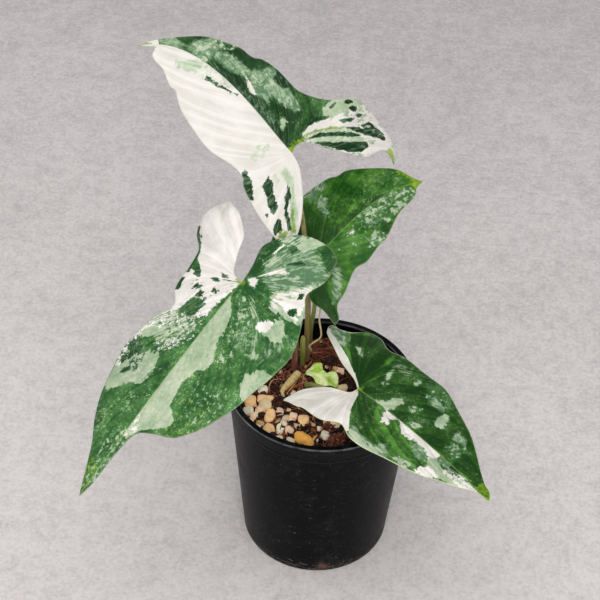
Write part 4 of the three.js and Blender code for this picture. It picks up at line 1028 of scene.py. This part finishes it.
def finish_material(root, base, rough, height, depth, strength, **constants):
    """Principled surface; height is a bump, of depth mm for each 1 of it."""
    inputs = {"Base Color": base, "Roughness": rough}
    if "Emission_Strength" in constants:
        inputs["Emission Color"] = base
    inputs["Normal"] = root.make("Bump", None, {"Strength": strength, "Distance": depth * MM,
                                                "Height": height})
    inputs.update({title.replace("_", " "): value for title, value in constants.items()})
    root.make("OutputMaterial", None, {0: root.make("BsdfPrincipled", None, inputs)})


# ------------------------------------------------------------------ finishes

LEAF_HUES = dict(
    ribs=(132, 168, 96), mottle=(104, 146, 98), halo=(80, 126, 78), flecks=(186, 206, 150),
    greys=((82, 118, 82), (152, 174, 142)), celadon=((132, 158, 122), (194, 202, 176)),
    nicks=(112, 146, 96), cream=(204, 200, 190), tinge=((138, 166, 124), (198, 210, 186)),
    inks=(118, 152, 118), lobe_ribs=(172, 196, 158), lime=((76, 120, 6), (156, 180, 44)),
    midrib=(160, 188, 112), trim=(214, 220, 184), underside=(150, 180, 140))


def leaf_material(name, looks):
    """Leaf: each marking is a smooth step of (its field + noise drawn out along the veins), laid in
    order over a mottled and flecked green; the underside is paler and duller."""
    hues = LEAF_HUES
    material, root, place = new_material("leaf_" + name)
    deep, grey, pale = attribute(root, "marks_low").parts()
    white, ink, fresh = attribute(root, "marks_high").parts()
    passed, gap, out = attribute(root, "veins").parts()
    line, edge, facing = attribute(root, "place").parts()
    right, veil, _ = attribute(root, "own_half").parts()
    elsewhere = root.make("VectorMath", {"operation": "ADD"}, {0: place, 1: (131, 57, 243)})

    in_lobe = 1 - passed.step(-0.4, 0.4)
    along_veins = vector(root, passed * 7, out * 0.14, right * 40 + looks["seed"])
    streaks = noise(root, along_veins, 1.0, 3.0, 0.55)
    ragged = noise(root, place, 0.45, 6.0, looks["fine"])
    other = noise(root, elsewhere, 0.55, 6.0, 0.72)
    grains = noise(root, place, 1.7, 2.0, 0.6)
    clouds = noise(root, elsewhere, 0.09, 3.0, 0.55)
    cells = root.make("TexVoronoi", None, {"Vector": place, "Scale": 0.55, "Randomness": 1.0}, 1)
    cell = root.make("SeparateColor", None, {0: cells}) * 2 - 1
    drawn = streaks * (in_lobe * 0.7 + looks["drawn"])
    torn = 1 - in_lobe * 0.65
    blocky = ((ragged * 1.7 + cell * 0.55) * torn + drawn) * looks["torn"]
    speckled = ((other * 1.9 + grains * 0.7) * torn + drawn) * looks["ragged"]

    def mask(field, rough, share=1.0, soft=0.15):
        return (field + rough * share).step(-soft, soft)

    # Painted shade and light: pleat runs -0.5..0.5 across each gap between veins and darkens one side of
    # it; between is 0 on a vein and 1 off it, darkening the creases and paling the swells.
    pleat = passed.sum("FRACT", passed + 0.5) - 0.5
    off_vein = abs(pleat) * gap
    between = off_vein.step(0.0, 3.0)
    ribs = (1 - off_vein.step(0.05, 0.45)) * facing

    shade = clouds * 0.35 + (ragged + other) * (looks["mottle"] * 0.4)
    shade = shade + between * looks["panels"] + 0.25
    base = (shade + pleat * looks["pleats"]).step(0.0, 1.0).toward(looks["dark"], looks["light"])
    base = (mask(deep, blocky, 0.8, 0.8) * 0.75).toward(base, looks["deep"])
    base = (ribs * (1 - in_lobe) * looks["ribs"]).toward(base, hues["ribs"])
    mottle = (speckled * 0.5 + clouds * 0.5 - 0.3).step(-0.1, 0.25) * looks["mottle"]
    base = (mottle * 0.8).toward(base, hues["mottle"])
    halo = (pale.sum("MAXIMUM", pale, white) + clouds * 0.8 + blocky + 0.7).step(-0.4, 0.4) * 0.5
    base = halo.toward(base, hues["halo"])
    flecks = (grains * 0.8 + other * 0.6 + clouds * 0.4 - looks["flecks"]).step(-0.05, 0.15)
    base = (flecks * 0.8).toward(base, hues["flecks"])
    greys = ragged * 0.8 + streaks * (in_lobe * 0.7 + 0.3) + clouds * 0.4 - in_lobe * 0.2 + 0.45
    base = mask(grey, speckled, 0.8, 0.8).toward(base, greys.step(0, 1).toward(*hues["greys"]))
    celadon = (clouds * 0.3 + streaks * 0.12 + other * 0.3 + 0.45).step(0, 1).toward(*hues["celadon"])
    nicks = (grains * 0.7 + ragged * 0.6 - 1.0).step(-0.1, 0.1) * 0.6
    base = mask(pale, blocky, 1.0, looks["soft"]).toward(base, nicks.toward(celadon, hues["nicks"]))
    # On the white too, pleat and between paint shade on one side of each gap and in the vein creases.
    cream = (clouds * 0.35 + streaks * 0.15 + between * 0.2 + pleat * 0.4 + 0.45).step(0, 1)
    base = mask(white, speckled, 0.8).toward(base, cream.toward(hues["cream"], looks["white"]))
    tinge = (clouds * 0.4 + streaks * 0.5 + 0.4).step(0, 1).toward(*hues["tinge"])
    base = (mask(veil, speckled, 1.0, 0.7) * 0.85).toward(base, tinge)
    # In the lobes, pleat paints shade on one side of each gap of the ink.
    inks = ragged * torn * 0.5 + streaks * 0.5 + clouds * 0.3 + pleat * in_lobe * 0.15 + 0.12
    inks = inks.step(0, 1).toward(looks["deep"], hues["inks"])
    inks = (ribs * in_lobe * 0.15).toward(inks, hues["lobe_ribs"])
    base = mask(ink, blocky + grains * torn * 0.6, 0.7).toward(base, inks)
    lime = (clouds * 0.4 + other * 0.4 + 0.4).step(0, 1).toward(*hues["lime"])
    base = (mask(fresh, other * 2, 0.8, 0.4) * 0.85).toward(base, lime)
    base = ((1 - line.step(0.15, 0.5)) * looks["midrib"] * facing).toward(base, hues["midrib"])
    trim = (1 - (edge + grains * 0.12).step(0.18, 0.5)) * looks["trim"]
    base = trim.toward(base, hues["trim"])
    base = ((1 - facing) * 0.4).toward(base, hues["underside"])
    pores = noise(root, place, 3.2, 2.0)
    rough = 0.36 + (1 - facing) * 0.25 + clouds * 0.03 + white.step(-1, 1) * 0.12
    finish_material(root, base, rough, pores * 0.3 + between * 0.6, 0.15, 0.6, Specular_IOR_Level=0.14)
    return material


BROWN_SPOT = (6, -40, 5)   # caked mix low on the pot's front


def pot_material():
    """Dusty and scuffed black plastic: crusted near the foot, with a painted highlight along the rim's
    corner.
    """
    material, root, place = new_material("pot_plastic")
    x, y, z = place.parts()
    dust = noise(root, place, 0.07, 6.0, 0.7)
    specks = noise(root, place, 0.8, 3.0, 0.7)
    low = 1 - z.step(1, 11)
    scuffed = noise(root, vector(root, x, y, z * 2.5), 0.25, 5.0, 0.7)
    worn = (dust + scuffed + low * 0.4).step(-0.2, 1.4)
    base = (worn * 0.3).toward((3, 3, 6), (56, 56, 57))
    base = ((specks + dust * 0.4 - 0.55).step(0, 0.25) * 0.3).toward(base, (96, 94, 92))
    crust = (scuffed * 1.6 + specks + low * 1.2 - 1.15).step(0, 0.4)
    base = (crust * 0.7).toward(base, (96, 90, 84))
    spot = root.make("VectorMath", {"operation": "DISTANCE"}, {0: place, 1: BROWN_SPOT}, 1)
    brown = 1 - (spot + scuffed * 5 + specks * 3).step(1.0, 3.2)
    base = (brown * 0.7).toward(base, (112, 84, 64))
    # Painted highlight: a pale band just under the rim's top, on its rounded corner, patchy with dust.
    below = POT["height"] - z
    corner = below.step(0.05, 0.25) * (1 - below.step(0.8, 1.6))
    base = (corner * (0.5 + dust * 0.9)).toward(base, (112, 114, 116))
    rough = 0.36 + worn * 0.2 + crust * 0.3 - corner * 0.1
    finish_material(root, base, rough, specks + crust * 2, 0.06, 0.5, Specular_IOR_Level=0.06)
    return material


TONES = dict(tan=(255, 210, 150), sand=(255, 230, 184), cream=(255, 243, 214), pink=(255, 218, 184),
             grey=(242, 212, 184), white=(255, 246, 220), amber=(250, 184, 78), lava=(118, 66, 50),
             peat=(20, 13, 10), coir=(88, 48, 34), bark=(58, 31, 24), russet=(150, 80, 56),
             straw=(226, 184, 130), fibre=(190, 108, 72))
# How pitted each finish of the mix is, how far warm patches colour it, and how much it shines.
FINISHES = dict(bed=(0.2, 0.0, 0.3), crumb=(0.2, 0.0, 0.3), stone=(-0.15, 0.35, 0.9),
                fibre=(0.0, 0.0, 0.5), porous=(0.55, 0.0, 0.3))
STONE_PAINTED_LIGHT = 0.12    # painted light: makes the stones glow to brighten them in the pot's shade
SPROUT_PAINTED_LIGHT = 0.22   # painted light: the sprout glows, standing in for light through its thin blade


def mix_material(title, finish):
    """Crumbs and stones: each point's own tone, clouded, with warm patches and dark pits; stones glow
    with painted light.
    """
    material, root, place = new_material(title)
    pits, warmth, shine = FINISHES[finish]
    speckle = noise(root, place, 0.9, 5.0, 0.75)
    if finish == "bed":
        tone = noise(root, place, 0.4, 5.0, 0.75).step(-0.2, 0.9).toward(TONES["peat"], TONES["coir"])
    else:
        tone = attribute(root, "tone")
    warm = noise(root, place, 0.4, 3.0, 0.6).step(0.0, 0.8) * warmth
    base = warm.toward(tone, (214, 142, 80))
    base = ((speckle + pits - 0.6).step(0, 0.4) * 0.85).toward(base, (40, 22, 16))
    # Painted light: the stones glow.
    painted_glow = dict(Emission_Strength=STONE_PAINTED_LIGHT) if finish == "stone" else {}
    finish_material(root, base, 0.9 - shine * 0.5, speckle * -1, 0.4, 0.8, Specular_IOR_Level=shine,
                    **painted_glow)
    return material


def stem_material(title, foot, top, foot_height, top_height, mottled=0.5, rough=0.45):
    """Stem whose colour changes with height, finely streaked along it."""
    material, root, place = new_material(title)
    x, y, z = place.parts()
    streak = noise(root, vector(root, x * 1.4, y * 1.4, z * 0.12), 1.0, 4.0)
    base = (z + streak * 14 * mottled).step(foot_height, top_height).toward(foot, top)
    base = (streak * 1.3 * mottled + 0.2).step(0, 1).toward(base, (66, 62, 36))
    base = (streak * -1.3 * mottled - 0.1).step(0, 1).toward(base, (198, 186, 130))
    finish_material(root, base, rough, streak, 0.1, 0.4)
    return material


def sprout_material():
    """Pale lime, clouded with cream, glowing with painted light."""
    material, root, place = new_material("sprout")
    base = noise(root, place, 0.2, 3.0, 0.5).step(-0.7, 0.7).toward((158, 204, 44), (252, 255, 196))
    finish_material(root, base, 0.36, noise(root, place, 0.35, 3.0), 1.2, 0.9,
                    Emission_Strength=SPROUT_PAINTED_LIGHT)
    return material


def floor_material():
    """Pale stone grey, clouded at four sizes, with painted light falloff: a little darker to the back
    and to the right.
    """
    material, root, place = new_material("floor")
    x, y, _ = place.parts()
    cloud = noise(root, place, 0.008, 5.0, 0.55)
    blot = noise(root, place, 0.035, 6.0, 0.7)
    dirt = noise(root, place, 0.13, 5.0, 0.7)
    grit = noise(root, place, 0.4, 4.0, 0.8)
    # Painted light falloff: the y and x terms darken the floor to the back and to the right.
    share = cloud * 0.12 + blot * 0.2 + dirt * 0.3 + grit * 0.45 + 0.72 - y * 0.0006 - x * 0.00015
    base = share.step(-0.2, 1.2).toward((168, 163, 162), (214, 209, 207))
    spots = (blot * 0.7 + dirt + grit * 0.5 - 0.7).step(0, 0.4)
    finish_material(root, (spots * 0.5).toward(base, (146, 142, 140)), 0.8, grit, 0.3, 0.3)
    return material


# ------------------------------------------------------------------ the plant

for number, (name, blade) in enumerate(BLADES.items()):
    looks = {**LEAF_LOOKS, **BLADE_LOOKS[name], "seed": 3.7 * number}
    shaped = {**blade, **{title: looks[title] for title in ("veins", "relief", "swell")}}
    mesh, table = blade_mesh(name, shaped)
    add_piece("leaf_" + name, mesh, leaf_material(name, looks), ["blade_" + name],
              corners=table)

PETIOLE_HUES = dict(top=((126, 96, 62), (146, 138, 80)), middle=((104, 98, 54), (124, 146, 66)),
                    left=((128, 66, 62), (130, 140, 72)), right=((150, 160, 84), (130, 158, 78)))
for name, (line, foot, end) in PETIOLES.items():
    across, along, normal = blade_axes(BLADES[name])
    seat = np.array(BLADES[name]["junction"]) + PETIOLE_SEAT * along
    line = [(*line[0][:2], MIX["level"] - MIX["depth"] + MIX["gap"]), *line,
            seat - PETIOLE_BEND * normal, seat - PETIOLE_SINK * normal]
    stem = rod(line, lambda share: end + (foot - end) * (1 - share) ** 1.5)
    add_piece("stalk_" + name, stem,
              stem_material("petiole_" + name, *PETIOLE_HUES[name], 100, 135), ["petiole_" + name])

stub = rod([(*STUB["line"][0][:2], STUB["foot"]), *STUB["line"]],
           lambda share: STUB["radius"] * (1 - 0.5 * np.clip((share - 0.9) / 0.1, 0, 1) ** 2))
add_piece("stub", stub, stem_material("sheath", (110, 116, 52), (150, 150, 70), 98, 112),
          ["sheath_stub"])
old_stem = rod(OLD_STEM["line"], lambda share: np.interp(share, np.linspace(0, 1, 4), OLD_STEM["radii"])
               * (1 + 0.1 * np.abs(np.sin(np.pi * OLD_STEM["rings"] * share)) ** 3), steps=120)
add_piece("old_stem_piece", old_stem,
          stem_material("old_stem", (214, 176, 112), (226, 202, 136), 94, 99, 0.4, 0.45), ["old_stem"])
add_piece("root_piece", rod(AERIAL_ROOT["line"], AERIAL_ROOT["radius"], 10, 90),
          stem_material("root", (214, 196, 140), (222, 206, 156), 100, 130, 0.3, 0.6), ["aerial_root"])
add_piece("sprout_piece", sprout_mesh(), sprout_material(), ["sprout"])

# ------------------------------------------------------------------ pot and mix

add_piece("pot_piece", pot_mesh(), pot_material(), ["pot"])
add_piece("mix_bed", mix_mesh(), mix_material("mix_bed", "bed"), ["potting_mix"])

CRAG_SHADE = 5.0    # painted shade: hollows are darker, natural log of the tone per share of the radius
TONE_SPREAD = 0.12


def add_toned(name, mesh, finish, tones, each, seed, depth=0):
    """Lumps or fibres of the mix: each has its own tone, a little lighter or darker, and craggy lumps
    are darker in their hollows with painted shade.
    """
    rng = np.random.default_rng(seed)
    shades = linear([TONES[tone] for tone in tones])
    shades = shades * np.exp(rng.normal(0, TONE_SPREAD, (len(tones), 1)))
    shades = np.repeat(shades, each, axis=0) * np.exp(CRAG_SHADE * depth)
    add_piece(name, mesh, mix_material(name, finish), dots=dict(tone=shades))


def add_lumps(name, centres, sizes, turns, tones, seed, finish, shape):
    mesh, each, depth = lumps(centres, sizes, turns, seed, **shape)
    add_toned(name, mesh, finish, tones, each, seed + 50, depth)


def on_mix(x, y, lift):
    """Places x, y at a lift above the mix."""
    return np.column_stack([x, y, mix_surface(x, y) + lift])


CRAGS = dict(cuts=30, square=2.6, craggy=0.4)
for name, finish, seed, shape in (("pebbles", "stone", 31, dict(cuts=12, square=3, uneven=0.2)),
                                  ("lava", "porous", 35, dict(CRAGS, uneven=0.2))):
    rows = [row for row in PEBBLES if (row[4] == "lava") == (name == "lava")]
    x, y, wide, deep = np.array([row[:4] for row in rows]).T
    thick = 0.75 * np.minimum(wide, deep)
    add_lumps(name, on_mix(x, y, 0.35 * thick), np.column_stack([wide, deep, thick]), 0 * x,
              [row[4] for row in rows], seed, finish, shape)

chunks = np.array(BARK)
add_lumps("bark", on_mix(chunks[:, 0], chunks[:, 1], 0.15 * chunks[:, 4]), chunks[:, 2:5], chunks[:, 5],
          ["coir"] + ["bark"] * (len(BARK) - 1), 32, "porous", dict(CRAGS, uneven=0.25))

# Loose lumps: count, seed, reach, lift, range of sizes, range of each axis, stretch, tones, shape.
for name, count, seed, reach, lift, sizes, spread, stretch, shares, shape in (
        ("crumbs", 900, 41, 46, 0.35, (0.5, 1.5), (0.5, 1.2), (1, 1, 1),
         dict(peat=0.36, coir=0.26, bark=0.2, russet=0.1, tan=0.05, straw=0.03),
         dict(cuts=2, square=3, uneven=0.2, tilt=0.6)),
        ("grit", 120, 43, 44.5, 0.3, (1.1, 2.4), (0.6, 1.1), (1, 1, 1),
         dict(coir=0.24, bark=0.24, russet=0.14, tan=0.14, cream=0.1, pink=0.08, grey=0.06),
         dict(cuts=5, square=2.6, uneven=0.16, tilt=0.5)),
        ("shreds", 260, 48, 45, 0.8, (0.6, 1.4), (0.6, 1.2), (2.6, 0.7, 0.4),
         dict(bark=0.4, coir=0.3, russet=0.22, straw=0.08),
         dict(cuts=4, square=3.5, uneven=0.18, tilt=0.35))):
    rng = np.random.default_rng(seed)
    _, x, y = scatter(rng, count, reach)
    size = rng.uniform(*sizes, count)[:, None] * np.array(stretch) * rng.uniform(*spread, (count, 3))
    turns = rng.uniform(0, 360, count)
    tones = rng.choice(list(shares), count, p=list(shares.values()))
    add_lumps(name, on_mix(x, y, lift), size, turns, tones, seed + 1, "crumb", shape)

# Fibres: count, seed, centre, reach, range of radius, range of length, heap, tones.
for name, count, seed, centre, reach, thickness, lengths, heap, shares in (
        ("fibres", 420, 45, (0, 0), 45, (0.1, 0.26), (5, 15), 1.0, dict(fibre=0.5, coir=0.3, straw=0.2)),
        ("coir_tuft", 420, 51, (3, 35), 10, (0.14, 0.34), (4, 10), 4.5,
         dict(russet=0.4, fibre=0.4, coir=0.2)),
        ("root_tuft", 110, 54, (-14, 12), 10, (0.14, 0.34), (6, 15), 2.5,
         dict(straw=0.35, fibre=0.35, coir=0.3))):
    mesh, each = fibres(count, seed, centre, reach, thickness, lengths, heap)
    tones = np.random.default_rng(seed + 1).choice(list(shares), count, p=list(shares.values()))
    add_toned(name, mesh, "fibre", tones, each, seed + 2)

# ------------------------------------------------------------------ floor, light and camera

HALF_FLOOR = 3.0
floor_mesh = bpy.data.meshes.new("floor")
floor_mesh.from_pydata([(-HALF_FLOOR, -HALF_FLOOR, 0), (HALF_FLOOR, -HALF_FLOOR, 0),
                        (HALF_FLOOR, HALF_FLOOR, 0), (-HALF_FLOOR, HALF_FLOOR, 0)], [], [(0, 1, 2, 3)])
floor_mesh.materials.append(floor_material())
floor = bpy.data.objects.new("floor", floor_mesh)
bpy.context.scene.collection.objects.link(floor)

LIGHT_AIM = Vector((0, 0, 0.1))
# Square lights: place and size in metres, watts, tint.
for title, place, size, watts, tint in (("key", (-0.05, -0.4, 1.85), 1.5, 12, (1.0, 0.985, 0.965)),
                                        ("fill", (0.05, -1.05, 0.95), 0.7, 9, (1.0, 0.985, 0.965)),
                                        ("side", (-1.5, 0.3, 0.8), 1.2, 3, (1.0, 1.0, 1.0))):
    data = bpy.data.lights.new(title, "AREA")
    data.size, data.energy, data.color = size, watts, tint
    light = bpy.data.objects.new(title, data)
    light.location = place
    light.rotation_euler = (LIGHT_AIM - Vector(place)).to_track_quat("-Z", "Y").to_euler()
    bpy.context.scene.collection.objects.link(light)

world = bpy.data.worlds.new("studio")
world.use_nodes = True
sky = world.node_tree.nodes["Background"].inputs
sky["Color"].default_value, sky["Strength"].default_value = (0.97, 0.97, 1.0, 1.0), 0.57
bpy.context.scene.world = world
bpy.context.scene.view_settings.view_transform = "Standard"

CAMERA = dict(place=(0, -605.5, 705.6), down=41.73, turn=-1.25, roll=2.18, focal_pixels=1600,
              image_pixels=600)


def make_camera():
    """Camera at its place, looking down and turned, then rolled about its line of sight."""
    down, turn, roll = np.radians([CAMERA["down"], CAMERA["turn"], CAMERA["roll"]])
    forward = np.array([np.sin(turn) * np.cos(down), np.cos(turn) * np.cos(down), -np.sin(down)])
    level = np.array([np.cos(turn), -np.sin(turn), 0])
    upright = np.cross(level, forward)
    right = np.cos(roll) * level + np.sin(roll) * upright
    up = np.cos(roll) * upright - np.sin(roll) * level
    data = bpy.data.cameras.new("camera")
    data.sensor_width = 36
    data.lens = data.sensor_width * CAMERA["focal_pixels"] / CAMERA["image_pixels"]
    camera = bpy.data.objects.new("camera", data)
    rows = np.column_stack([right, up, -forward, np.array(CAMERA["place"]) * MM])
    camera.matrix_world = Matrix([*rows.tolist(), [0, 0, 0, 1]])
    bpy.context.scene.collection.objects.link(camera)
    bpy.context.scene.camera = camera


make_camera()
